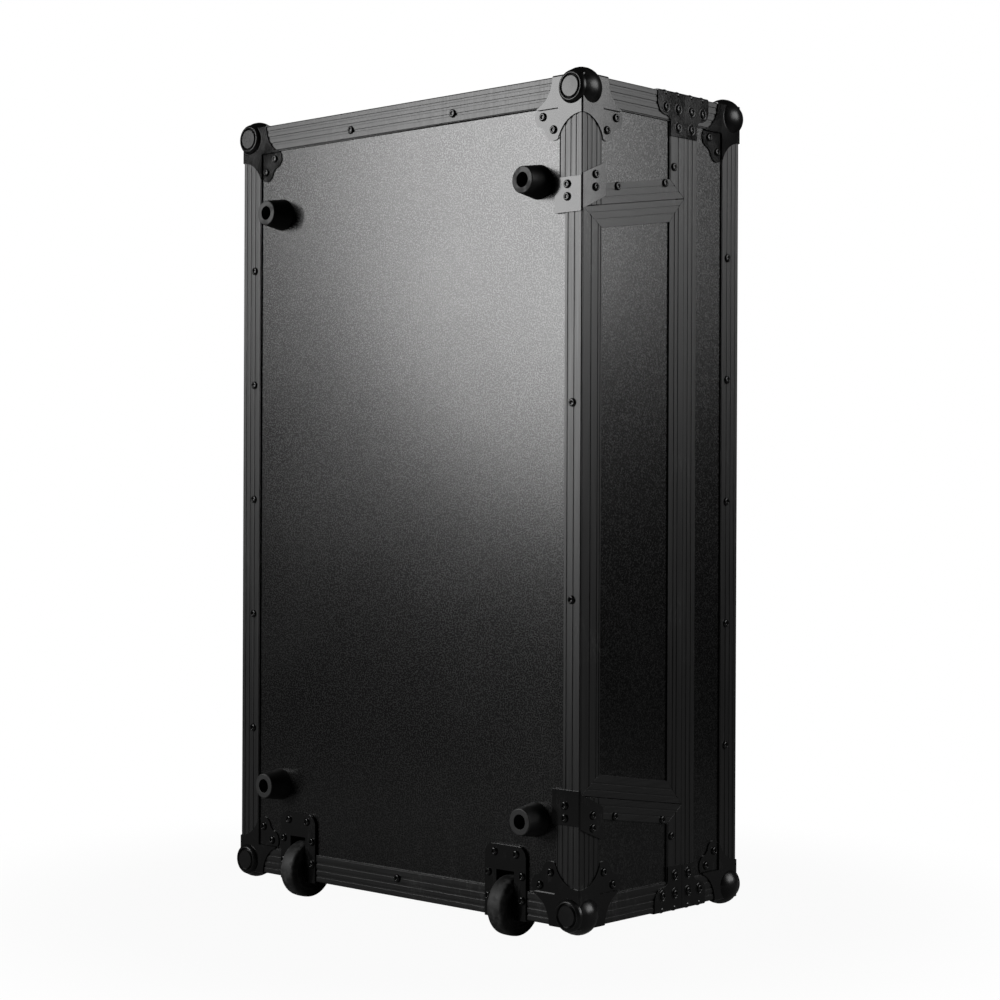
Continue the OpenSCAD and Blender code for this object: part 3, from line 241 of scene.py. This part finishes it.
def bumped(w, shader, height, strength, distance):
    """Feeds a height into the shader's normal; distance is in metres."""
    bump = w.add("ShaderNodeBump", {"Strength": strength, "Distance": distance, "Height": height})
    w.tree.links.new(bump.outputs[0], shader.inputs["Normal"])


def laminate_finish():
    """Pressed black laminate with a thin satin coat that covers it in fine specks."""
    mat, w, shader, place = finish_maker("black laminate", tone=0.005, roughness=0.23,
                                         Specular_IOR_Level=0.42, Coat_Roughness=0.35)
    grain = use(w, PEBBLES, Vector=place, Size_mm=1.6, Unevenness=0.9)
    speck = w.noise(place, scale=680.0, detail=1.0)
    marks = use(w, MARKS, Vector=place, Cloud_size_m=0.22, Scuff_size_m=0.05)
    colour = w.mix(grain["Speck"], grey(0.001), grey(0.0025))
    scuffed(w, shader, marks, colour, pale=0.03, share=0.2)
    roughened(w, shader, w.span(marks["Clouds"], 0, 1, 0.218, 0.243))
    w.tree.links.new(w.span(speck, 0.44, 0.66, 0.0, 0.55), shader.inputs["Coat Weight"])
    bumped(w, shader, grain["Height"], strength=1.0, distance=0.02*MM)
    return mat


def extrusion_finish():
    """Black anodised bars, brushed along their length."""
    mat, w, shader, place = finish_maker("satin black extrusion", tone=0.012, roughness=0.5)
    along = w.add("ShaderNodeAttribute", attribute_name="along").outputs["Vector"]
    lines = w.noise(along, scale=1.0, detail=3.0, roughness=0.6)
    marks = use(w, MARKS, Vector=place, Cloud_size_m=0.09, Scuff_size_m=0.015)
    colour = w.mix(lines, grey(0.003), grey(0.007))
    scuffed(w, shader, marks, colour, pale=0.06, share=0.5)
    roughened(w, shader, w.span(lines, 0.3, 0.7, 0.32, 0.39))
    bumped(w, shader, lines, strength=0.3, distance=0.03*MM)
    return mat


ENAMEL_TONE = 0.006
ENAMEL_ROUGH = 0.12
ENAMEL_SCUFF = 0.0392                       # tone where it is scuffed
BALL_SATIN = 0.17                           # how much rougher a ball is than its plates


def enamel_finish(name, peel):
    """Enamelled steel with a fine orange peel; it is more satin where a mesh says it is a ball."""
    mat, w, shader, place = finish_maker(name, ENAMEL_TONE, ENAMEL_ROUGH, Specular_IOR_Level=0.34)
    grain = use(w, PEBBLES, Vector=place, Size_mm=0.9, Unevenness=0.6)
    marks = use(w, MARKS, Vector=place, Cloud_size_m=0.03, Scuff_size_m=0.008)
    scuffed(w, shader, marks, grey(ENAMEL_TONE), pale=ENAMEL_SCUFF, share=0.5)
    ball = w.add("ShaderNodeAttribute", attribute_name="ball").outputs["Fac"]
    even = w.span(marks["Clouds"], 0, 1, ENAMEL_ROUGH - 0.02, ENAMEL_ROUGH + 0.03)
    roughened(w, shader, w.math("MULTIPLY_ADD", ball, BALL_SATIN, even))
    bumped(w, shader, grain["Height"], strength=peel, distance=0.04*MM)
    return mat


def zinc_finish():
    """Plated steel with cloudy patches."""
    mat, w, shader, place = finish_maker("zinc plated steel", tone=0.43, roughness=0.34,
                                         Metallic=1.0)
    marks = use(w, MARKS, Vector=place, Cloud_size_m=0.012, Scuff_size_m=0.004)
    painted(w, shader, marks["Clouds"], grey(0.36), grey(0.5))
    roughened(w, shader, w.span(marks["Clouds"], 0, 1, 0.28, 0.42))
    return mat


def rubber_finish(name, tone, dust, rough, dust_scale):
    """Black rubber with pale dust in patches."""
    mat, w, shader, place = finish_maker(name, tone, rough)
    patches = w.noise(place, dust_scale, detail=6.0, roughness=0.62)
    dusty = w.span(patches, 0.42, 0.68)
    painted(w, shader, dusty, grey(tone), grey(dust))
    roughened(w, shader, w.span(dusty, 0, 1, rough, rough + 0.2))
    fine = w.noise(place, scale=2600.0, detail=2.0)
    bumped(w, shader, fine, strength=0.35, distance=0.05*MM)
    return mat


def foam_finish():
    """Dark foam with open pores, painted darker in their hollows as painted shade."""
    mat, w, shader, place = finish_maker("dark grey foam", tone=0.046, roughness=0.95,
                                         Sheen_Weight=0.25)
    cells = w.add("ShaderNodeTexVoronoi", {"Vector": place, "Scale": 900.0}, feature="F1")
    pore_shade_and_depth = w.span(cells.outputs["Distance"], 0.1, 0.6)
    # painted shade: the colour is darker in the pore hollows, which the bump also sinks
    painted(w, shader, pore_shade_and_depth, grey(0.028), grey(0.062))
    bumped(w, shader, pore_shade_and_depth, strength=0.8, distance=0.3*MM)
    return mat


def hub_finish():
    """Moulded black nylon."""
    mat, w, shader, place = finish_maker("matte black nylon", tone=0.008, roughness=0.55)
    grain = use(w, PEBBLES, Vector=place, Size_mm=0.5, Unevenness=0.5)
    marks = use(w, MARKS, Vector=place, Cloud_size_m=0.02, Scuff_size_m=0.006)
    painted(w, shader, marks["Clouds"], grey(0.006), grey(0.014))
    bumped(w, shader, grain["Height"], strength=0.3, distance=0.04*MM)
    return mat


FINISH = {
    "laminate": laminate_finish(),
    "extrusion": extrusion_finish(),
    "steel_plate": enamel_finish("black plate enamel", peel=0.2),
    "rivet_steel": enamel_finish("black rivet enamel", peel=0.1),
    "zinc_steel": zinc_finish(),
    "foot_rubber": rubber_finish("black foot rubber", tone=0.005, dust=0.010, rough=0.5,
                                 dust_scale=60.0),
    "wheel_tyre": rubber_finish("worn wheel rubber", tone=0.006, dust=0.045, rough=0.6,
                                dust_scale=130.0),
    "wheel_hub": hub_finish(),
    "foam": foam_finish(),
}


# Shapes

WELD = 3e-6                                 # points nearer than this are one point
FLAT = math.radians(0.4)                    # faces that turn less than this are one face
ROUNDED = math.radians(28)                  # edges that turn more than this are rounded
CREASED = math.radians(38)                  # edges of turned pieces that stay sharp


def put(name, mesh, body, slot, *nodes):
    """Makes a finished piece of a mesh in place, riding on a body and standing for CAD nodes."""
    obj = bpy.data.objects.new(name, mesh)
    bpy.context.scene.collection.objects.link(obj)
    mesh.materials.clear()
    mesh.materials.append(FINISH[slot])
    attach(obj, body)
    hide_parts(*nodes)
    return obj


def merged_copy(node):
    """A CAD node's mesh with its loose triangles joined and its flat faces made whole."""
    bm = bmesh.new()
    bm.from_mesh(NODES[node].data)
    bmesh.ops.remove_doubles(bm, verts=bm.verts, dist=WELD)
    bmesh.ops.dissolve_limit(bm, angle_limit=FLAT, verts=bm.verts, edges=bm.edges,
                             use_dissolve_boundaries=False)
    mesh = bpy.data.meshes.new(node + " merged")
    bm.to_mesh(mesh)
    bm.free()
    return mesh


def evaluated(obj, name):
    """The object's mesh with its modifiers applied; the object itself is taken away."""
    bpy.context.view_layer.update()
    graph = bpy.context.evaluated_depsgraph_get()
    mesh = bpy.data.meshes.new_from_object(obj.evaluated_get(graph), depsgraph=graph)
    mesh.name = name
    old = obj.data
    bpy.data.objects.remove(obj)
    if old.users == 0:
        bpy.data.meshes.remove(old)
    return mesh


def softened(mesh, name, width, segments=2):
    """Rounds a mesh's sharp edges and evens its shading."""
    mesh.materials.clear()
    obj = bpy.data.objects.new(name, mesh)
    bpy.context.scene.collection.objects.link(obj)
    mesh.shade_smooth()
    bevel = obj.modifiers.new("round the edges", "BEVEL")
    bevel.width = width
    bevel.segments = segments
    bevel.limit_method = "ANGLE"
    bevel.angle_limit = ROUNDED
    bevel.profile = 0.6
    even = obj.modifiers.new("even shading", "WEIGHTED_NORMAL")
    even.keep_sharp = True
    even.weight = 80
    return evaluated(obj, name)


def joined(first, second):
    """Adds the second mesh to the first and returns the first."""
    bm = bmesh.new()
    bm.from_mesh(first)
    bm.from_mesh(second)
    bm.to_mesh(first)
    bm.free()
    bpy.data.meshes.remove(second)
    return first


def loose_parts(bm):
    """The separate pieces of a mesh, each as a list of its points."""
    left, found = set(bm.verts), []
    while left:
        group, edge = [], [left.pop()]
        while edge:
            vert = edge.pop()
            group.append(vert)
            for e in vert.link_edges:
                other = e.other_vert(vert)
                if other in left:
                    left.discard(other)
                    edge.append(other)
        found.append(group)
    return found


def box_of(points):
    """The low and the high corner of the box round some points."""
    low = Vector([min(p[k] for p in points) for k in range(3)])
    high = Vector([max(p[k] for p in points) for k in range(3)])
    return low, high


def piece_boxes(node):
    """The boxes round the separate pieces of a CAD node."""
    bm = bmesh.new()
    bm.from_mesh(NODES[node].data)
    bmesh.ops.remove_doubles(bm, verts=bm.verts, dist=WELD)
    boxes = [box_of([vert.co for vert in group]) for group in loose_parts(bm)]
    bm.free()
    return boxes


BRUSH_ALONG, BRUSH_ACROSS = 9.0, 900.0      # brush lines to the metre


def mark_along(mesh):
    """Stores where each point lies on its own bar, drawn out along the bar's length."""
    bm = bmesh.new()
    bm.from_mesh(mesh)
    layer = bm.verts.layers.float_vector.new("along")
    for group in loose_parts(bm):
        low, high = box_of([v.co for v in group])
        size = high - low
        stretch = Vector([BRUSH_ACROSS]*3)
        stretch[max(range(3), key=lambda k: size[k])] = BRUSH_ALONG
        for vert in group:
            vert[layer] = vert.co*stretch
    bm.to_mesh(mesh)
    bm.free()


def turned(profile, centre, axis, segments=96):
    """A closed ring of (radius, height) points turned about an axis through centre."""
    side = {"X": Vector((0, 1, 0)), "Y": Vector((0, 0, 1)), "Z": Vector((1, 0, 0))}[axis[-1]]
    way = Vector([float(axis[-1] == k) for k in "XYZ"])*(-1 if axis[0] == "-" else 1)
    other = way.cross(side)
    bm = bmesh.new()
    rings = []
    for k in range(segments):
        angle = 2*math.pi*k/segments
        out = side*math.cos(angle) + other*math.sin(angle)
        rings.append([bm.verts.new(centre + out*r + way*h) for r, h in profile])
    count = len(profile)
    for k in range(segments):
        here, there = rings[k], rings[(k + 1) % segments]
        for j in range(count):
            n = (j + 1) % count
            bm.faces.new((here[j], there[j], there[n], here[n]))
    bmesh.ops.recalc_face_normals(bm, faces=bm.faces)
    mesh = bpy.data.meshes.new("turned")
    bm.to_mesh(mesh)
    bm.free()
    mesh.shade_smooth()
    mesh.set_sharp_from_angle(angle=CREASED)
    return mesh


def arc(cx, cy, r, start, end, steps):
    """Points on an arc, in degrees."""
    angles = [math.radians(start + (end - start)*k/steps) for k in range(steps + 1)]
    return [(cx + r*math.cos(a), cy + r*math.sin(a)) for a in angles]


# Ball corners: the way the discs of each set face, and the groove and lip pressed into each disc
# as (radius, height) in mm

BALLED = {"base_ball_corners": -1, "lid_ball_corners": 1}
DISC_GROOVE = [(10.1, 1.0), (10.1, -1.02), (11.4, -2.4), (13.0, -0.55), (13.7, -0.55), (13.7, 1.0)]
DISC_SLACK = 0.02*MM                        # how far a disc's points may lie from its face
BALL_INSET = 12.43*MM                       # from the case's sides to the middle of a ball
BALL_REACH = 23*MM                          # from that middle to the ball's farthest points
BALL_STAND = 1.3*MM                         # a ball's points stand out of the case by more
CASE_LOW = tuple(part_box("bottom_edge_extrusions")[0])
CASE_HIGH = tuple(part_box("lid_edge_extrusions")[1])


def past_case(point):
    """How far a point lies outside the case's own box."""
    return max(max(CASE_LOW[k] - point[k], point[k] - CASE_HIGH[k]) for k in range(3))


def pressed(mesh, node):
    """Presses the round groove and the narrow lip into the disc of each ball."""
    way = BALLED[node]
    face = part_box(node)[1 if way > 0 else 0][1]
    flat = [v.co.copy() for v in mesh.vertices if abs(v.co.y - face) < DISC_SLACK]
    low, high = box_of(flat)
    middle = (low + high)/2
    profile = [(r*MM, h*MM) for r, h in DISC_GROOVE]
    cutter = None
    for right in (-1, 1):
        for above in (-1, 1):
            low, high = box_of([p for p in flat if (p.x - middle.x)*right > 0
                                and (p.z - middle.z)*above > 0])
            ring = turned(profile, (low + high)/2, "Y" if way > 0 else "-Y")
            cutter = ring if cutter is None else joined(cutter, ring)
    tool = bpy.data.objects.new("disc rings", cutter)
    obj = bpy.data.objects.new(node + " pressed", mesh)
    for each in (tool, obj):
        bpy.context.scene.collection.objects.link(each)
    cut = obj.modifiers.new("press the rings", "BOOLEAN")
    cut.operation = "DIFFERENCE"
    cut.solver = "EXACT"
    cut.object = tool
    made = evaluated(obj, node + " pressed")
    bpy.data.objects.remove(tool)
    bpy.data.meshes.remove(cutter)
    return made


def mark_balls(mesh):
    """Marks the points that lie on a ball rather than on its plates."""
    mark = mesh.attributes.new("ball", "FLOAT", "POINT").data
    for k, vert in enumerate(mesh.vertices):
        near = Vector([min(abs(vert.co[j] - CASE_LOW[j] - BALL_INSET),
                           abs(vert.co[j] - CASE_HIGH[j] + BALL_INSET)) for j in range(3)])
        mark[k].value = float(near.length < BALL_REACH and past_case(vert.co) > BALL_STAND)


# Rivets and the collars pressed round them, made by a node tree

RIVET_RADIUS = 4.4*MM
RIVET_INPUTS = (
    ("Head radius", FLOAT, RIVET_RADIUS), ("Head height", FLOAT, 2.1*MM),
    ("Crown place", FLOAT, 0.62), ("Hole radius", FLOAT, 1.8*MM), ("Hole floor", FLOAT, 0.3),
    ("Tilt", FLOAT, 0.03), ("Seed", INTEGER, 7), ("Finish", MATERIAL, None),
)
RIVET_SPOKES, RIVET_STEPS = 24, 18
CROWN_DIP = 0.35                            # how deep the crown sinks in the middle, of its height
HOLE_IN, HOLE_OUT = 0.8, 1.2                # where the hole's wall starts and ends, of its radius
COLLARED = {"base_corner_braces": "base_rivets", "lid_corner_braces": "lid_rivets"}
COLLAR = {"Head radius": 6.4*MM, "Head height": 0.55*MM, "Crown place": 0.84,
          "Hole radius": 4.6*MM, "Hole floor": 0.0, "Tilt": 0.0}


def rivet_tree():
    """A tree that sets a domed head with a hole in its crown on every seat."""
    tree = bpy.data.node_groups.new("domed rivets", "GeometryNodeTree")
    face = tree.interface
    face.new_socket("Seats", in_out="INPUT", socket_type=GEOMETRY)
    for label, kind, default in RIVET_INPUTS:
        socket = face.new_socket(label, in_out="INPUT", socket_type=kind)
        if default is not None:
            socket.default_value = default
    face.new_socket("Rivets", in_out="OUTPUT", socket_type=GEOMETRY)
    w = Wires(tree)
    i = w.add("NodeGroupInput").outputs
    cone = w.add("GeometryNodeMeshCone",
                 {"Vertices": RIVET_SPOKES, "Side Segments": RIVET_STEPS, "Radius Top": 0.0,
                  "Radius Bottom": i["Head radius"], "Depth": i["Head height"]}, fill_type="NONE")
    position = w.add("GeometryNodeInputPosition").outputs[0]
    spot = w.add("ShaderNodeSeparateXYZ", {0: position}).outputs
    squares = [w.math("MULTIPLY", spot[k], spot[k]) for k in range(2)]
    out = w.math("SQRT", w.math("ADD", *squares))
    past = w.math("SUBTRACT", w.math("DIVIDE", out, i["Head radius"]), i["Crown place"])
    fall = w.math("DIVIDE", w.math("MAXIMUM", past, 0.0), w.math("SUBTRACT", 1.0, i["Crown place"]))
    dip = w.math("DIVIDE", w.math("MINIMUM", past, 0.0), i["Crown place"])
    round_off = w.math("SUBTRACT", 1.0, w.math("MULTIPLY", fall, fall))
    rise = w.math("SUBTRACT", w.math("SQRT", w.math("MAXIMUM", round_off, 0.0)),
                  w.math("MULTIPLY", w.math("MULTIPLY", dip, dip), CROWN_DIP))
    wall = w.span(out, w.math("MULTIPLY", i["Hole radius"], HOLE_IN),
                  w.math("MULTIPLY", i["Hole radius"], HOLE_OUT), i["Hole floor"], 1.0)
    height = w.math("MULTIPLY", w.math("MULTIPLY", rise, wall), i["Head height"])
    shape = w.add("ShaderNodeCombineXYZ", {0: spot[0], 1: spot[1], 2: height}).outputs[0]
    head = w.add("GeometryNodeSetPosition", {"Geometry": cone.outputs["Mesh"], "Position": shape})
    smooth = w.add("GeometryNodeSetShadeSmooth", {"Geometry": head.outputs[0]})
    facing = w.add("GeometryNodeInputNamedAttribute", {"Name": "facing"},
                   data_type="FLOAT_VECTOR").outputs[0]
    size = w.add("GeometryNodeInputNamedAttribute", {"Name": "size"}, data_type="FLOAT").outputs[0]
    lean = w.add("FunctionNodeRandomValue", {0: (-1, -1, -1), 1: (1, 1, 1), "Seed": i["Seed"]},
                 data_type="FLOAT_VECTOR")
    wobble = w.add("ShaderNodeVectorMath", {0: lean.outputs[0], "Scale": i["Tilt"]},
                   operation="SCALE")
    aim = w.add("ShaderNodeVectorMath", {0: facing, 1: wobble.outputs[0]}, operation="ADD")
    spin = w.add("FunctionNodeAlignRotationToVector", {"Vector": aim.outputs[0]}, axis="Z")
    placed = w.add("GeometryNodeInstanceOnPoints",
                   {"Points": i["Seats"], "Instance": smooth.outputs[0],
                    "Rotation": spin.outputs[0], "Scale": size})
    real = w.add("GeometryNodeRealizeInstances", {0: placed.outputs[0]})
    done = w.add("GeometryNodeSetMaterial", {"Geometry": real.outputs[0], "Material": i["Finish"]})
    w.add("NodeGroupOutput", {"Rivets": done.outputs[0]})
    return tree


def grown(name, tree, start, settings):
    """Runs a geometry tree on a start mesh with its inputs set by name; returns a plain mesh."""
    obj = bpy.data.objects.new(name, start)
    bpy.context.scene.collection.objects.link(obj)
    mod = obj.modifiers.new(name, "NODES")
    mod.node_group = tree
    for item in tree.interface.items_tree:
        if item.item_type == "SOCKET" and item.in_out == "INPUT" and item.name in settings:
            mod[item.identifier] = settings[item.name]
    return evaluated(obj, name)


def rivet_seats(node):
    """Where each rivet sits, which way it faces and its size, read from the CAD node."""
    middle = (Vector(cad_box[0]) + Vector(cad_box[1]))/2
    seats = []
    for low, high in piece_boxes(node):
        size = high - low
        axis = min(range(3), key=lambda k: size[k])
        centre = (low + high)/2
        side = 1 if centre[axis] > middle[axis] else -1
        centre[axis] = (low if side > 0 else high)[axis]
        facing = Vector((0, 0, 0))
        facing[axis] = side
        across = max(size)/2
        seats.append((centre, facing, across/RIVET_RADIUS))
    return sorted(seats, key=lambda seat: tuple(round(v, 5) for v in seat[0]))


def seats_mesh(name, seats):
    """A mesh of one point for each seat, with its facing and size stored."""
    mesh = bpy.data.meshes.new(name)
    mesh.from_pydata([tuple(s[0]) for s in seats], [], [])
    mesh.attributes.new("facing", "FLOAT_VECTOR", "POINT")
    mesh.attributes.new("size", "FLOAT", "POINT")
    for k, (_, facing, size) in enumerate(seats):
        mesh.attributes["facing"].data[k].vector = facing
        mesh.attributes["size"].data[k].value = size
    return mesh


def collars(tree, node):
    """The rings pressed into a brace round its rivets."""
    boxes = piece_boxes(node)
    seats = [s for s in rivet_seats(COLLARED[node])
             if any(all(low[k] - MM < s[0][k] < high[k] + MM for k in range(3))
                    for low, high in boxes)]
    return grown(node + " collars", tree, seats_mesh(node + " collar seats", seats),
                 {**COLLAR, "Finish": FINISH["steel_plate"]})


def rivet_pieces(tree):
    """Domed rivets in place of the CAD's plain ones."""
    for node in ("base_rivets", "lid_rivets"):
        made = grown(node + "_domed", tree, seats_mesh(node + " seats", rivet_seats(node)),
                     {"Finish": FINISH["rivet_steel"]})
        put(node + "_domed", made, BODY[node], "rivet_steel", node)


# Pieces with rounded edges, and how wide each is rounded in mm

SOFT_EDGES = {
    "bottom_edge_extrusions": 0.25, "base_corner_posts": 0.25, "base_rim_extrusions": 0.25,
    "opening_frame_strips": 0.2, "sill_strip": 0.2, "lid_edge_extrusions": 0.25,
    "lid_corner_posts": 0.25, "lid_rim_extrusions": 0.25, "front_panel_strips": 0.12,
    "opening_brackets": 0.5, "base_corner_braces": 0.5, "base_ball_corners": 0.4,
    "lid_corner_braces": 0.5, "lid_ball_corners": 0.4, "wheel_housings": 0.4,
    "handle_dishes": 0.3, "latch_dishes": 0.3, "keeper_dishes": 0.3, "rubber_feet": 0.5,
    "foot_screws": 0.2, "handle_pins": 0.3, "wheel_axles": 0.3,
    "top_handle_bar": 0.6, "wheel_end_handle_bar": 0.6, "top_handle_grip": 0.4,
    "wheel_end_handle_grip": 0.4, "rear_wheel_hub": 0.4, "front_wheel_hub": 0.4,
}
for end in ("top", "low"):
    for side in ("rear", "front"):
        SOFT_EDGES.update({f"{end}_{side}_spindle": 0.25, f"{end}_{side}_wing": 0.35,
                           f"{end}_{side}_hook": 0.3})


def soft_pieces(tree):
    """Rounded copies of the CAD's metal and rubber pieces, with their pressed details."""
    for node, width in SOFT_EDGES.items():
        slot = SLOT[node]
        mesh = merged_copy(node)
        if node in BALLED:
            mesh = pressed(mesh, node)
        mesh = softened(mesh, node + "_finished", width*MM)
        if node in BALLED:
            mark_balls(mesh)
        if slot == "extrusion":
            mark_along(mesh)
        if node in COLLARED:
            mesh = joined(mesh, collars(tree, node))
        put(node + "_finished", mesh, BODY[node], slot, node)


# Wheels and foam

TYRE_BORE = 20*MM
TYRE_ROUND = 4.2*MM                         # radius of a tyre's shoulders
TYRE_BEAD = [(0.0, 0.3), (0.4, 0.0), (2.6, 0.0), (3.0, 0.45), (3.6, 0.45), (4.0, 0.0)]
SHOULDER_WORN = 0.35*MM
TYRE_TREAD = [(0.12, 0.42), (0.02, 0.2)]    # how far the tread is worn, at shares of its half width
FOAM_ROUND = 2.2*MM


def tyre_pieces():
    """Worn round tyres with a bead line on each side."""
    for node in ("rear_wheel_tyre", "front_wheel_tyre"):
        low, high = (Vector(c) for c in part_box(node))
        half = (high.x - low.x)/2
        r = (high.z - low.z)/2
        one_side = [(TYRE_BORE + out*MM, half - deep*MM) for out, deep in TYRE_BEAD]
        one_side += arc(r - SHOULDER_WORN - TYRE_ROUND, half - TYRE_ROUND, TYRE_ROUND, 90, 12, 9)
        one_side += [(r - worn*MM, half*share) for worn, share in TYRE_TREAD]
        profile = one_side + [(x, -y) for x, y in reversed(one_side)]
        mesh = turned(profile, (low + high)/2, "X", segments=112)
        put(node + "_finished", mesh, BODY[node], "wheel_tyre", node)


def foam_pieces():
    """Padded foam with soft cut edges."""
    for node in ("base_floor_foam", "base_wall_foam", "lid_foam", "front_panel_foam"):
        mesh = softened(merged_copy(node), node + "_cut", FOAM_ROUND, segments=3)
        piece = put(node + "_cut", mesh, BODY[node], "foam", node)


# Floor, light and background; the spans are distances from the object in metres

FLOOR_RADIUS = 9.0
FLOOR_PAINTED_POOL, FLOOR_PAST_PAINTED_POOL = 0.3, 0.02           # the floor's paint: lighter near the object as a painted pool of light, and darker past it
PAINTED_POOL_SPAN = (0.7, 1.9)
SHADOW_GLOW = 0.95                          # how much of the floor's white is glow at the object
SHADOW_SPAN = (0.35, 0.75)
WORLD_LIGHT = 0.006
# Name, place, the point it faces, width, height, power in watts and shape
SOFTBOXES = (
    ("left softbox", (-1.83, -2.635, 1.41), (-0.1, 0.13, 1.28), 1.336, 1.86, 71.5, "ELLIPSE"),
    ("right softbox", (3.05, 1.45, 1.77), (0.25, -0.1, 1.4), 2.6, 1.75, 80, "RECTANGLE"),
)


def floor_finish():
    """A floor that the camera sees as near white, with a faint shadow at the object."""
    mat = bpy.data.materials.new("pale floor")
    mat.use_nodes = True
    mat.node_tree.nodes.clear()
    w = Wires(mat.node_tree)
    glow = w.add("ShaderNodeEmission", {"Color": grey(1), "Strength": 1.0}).outputs[0]
    seen = w.add("ShaderNodeLightPath").outputs["Is Camera Ray"]
    place = w.add("ShaderNodeTexCoord").outputs["Object"]
    away = w.add("ShaderNodeVectorMath", {0: place}, operation="LENGTH").outputs["Value"]
    # painted pool of light: the floor's paint is lighter near the object and darker away from it
    tone = w.mix(w.span(away, *PAINTED_POOL_SPAN), grey(FLOOR_PAINTED_POOL), grey(FLOOR_PAST_PAINTED_POOL))
    paint = w.add("ShaderNodeBsdfDiffuse", {"Color": tone}).outputs[0]
    part = w.span(away, *SHADOW_SPAN, SHADOW_GLOW, 1.0)
    both = w.add("ShaderNodeMixShader", {0: w.math("MULTIPLY", seen, part), 1: paint, 2: glow})
    w.add("ShaderNodeOutputMaterial", {"Surface": both.outputs[0]})
    return mat


def studio_world():
    """A background that the camera sees as white and that hardly lights the object."""
    world = bpy.data.worlds.new("studio")
    bpy.context.scene.world = world
    world.use_nodes = True
    world.node_tree.nodes.clear()
    w = Wires(world.node_tree)
    seen = w.add("ShaderNodeLightPath").outputs["Is Camera Ray"]
    dim, white = (w.add("ShaderNodeBackground", {"Color": grey(1), "Strength": strength}).outputs[0]
                  for strength in (WORLD_LIGHT, 1.0))
    both = w.add("ShaderNodeMixShader", {0: seen, 1: dim, 2: white})
    w.add("ShaderNodeOutputWorld", {"Surface": both.outputs[0]})


def softbox(name, place, aim, wide, high, power, shape):
    """A soft light that faces its aim."""
    data = bpy.data.lights.new(name, "AREA")
    data.shape = shape
    data.size = wide
    data.size_y = high
    data.energy = power
    lamp = bpy.data.objects.new(name, data)
    lamp.location = place
    lamp.rotation_euler = (Vector(aim) - Vector(place)).to_track_quat("-Z", "Y").to_euler()
    bpy.context.scene.collection.objects.link(lamp)


def studio():
    """The floor, the background and the lights."""
    bm = bmesh.new()
    bmesh.ops.create_circle(bm, cap_ends=True, radius=FLOOR_RADIUS, segments=96)
    mesh = bpy.data.meshes.new("studio floor")
    bm.to_mesh(mesh)
    bm.free()
    floor = bpy.data.objects.new("studio_floor", mesh)
    bpy.context.scene.collection.objects.link(floor)
    mesh.materials.append(floor_finish())
    studio_world()
    for lamp in SOFTBOXES:
        softbox(*lamp)
    bpy.context.scene.view_settings.view_transform = "Standard"


photo_camera()
RIVETS = rivet_tree()
soft_pieces(RIVETS)
rivet_pieces(RIVETS)
tyre_pieces()
foam_pieces()
for node, obj in NODES.items():
    obj.data.materials.clear()
    obj.data.materials.append(FINISH[SLOT[node]])
studio()
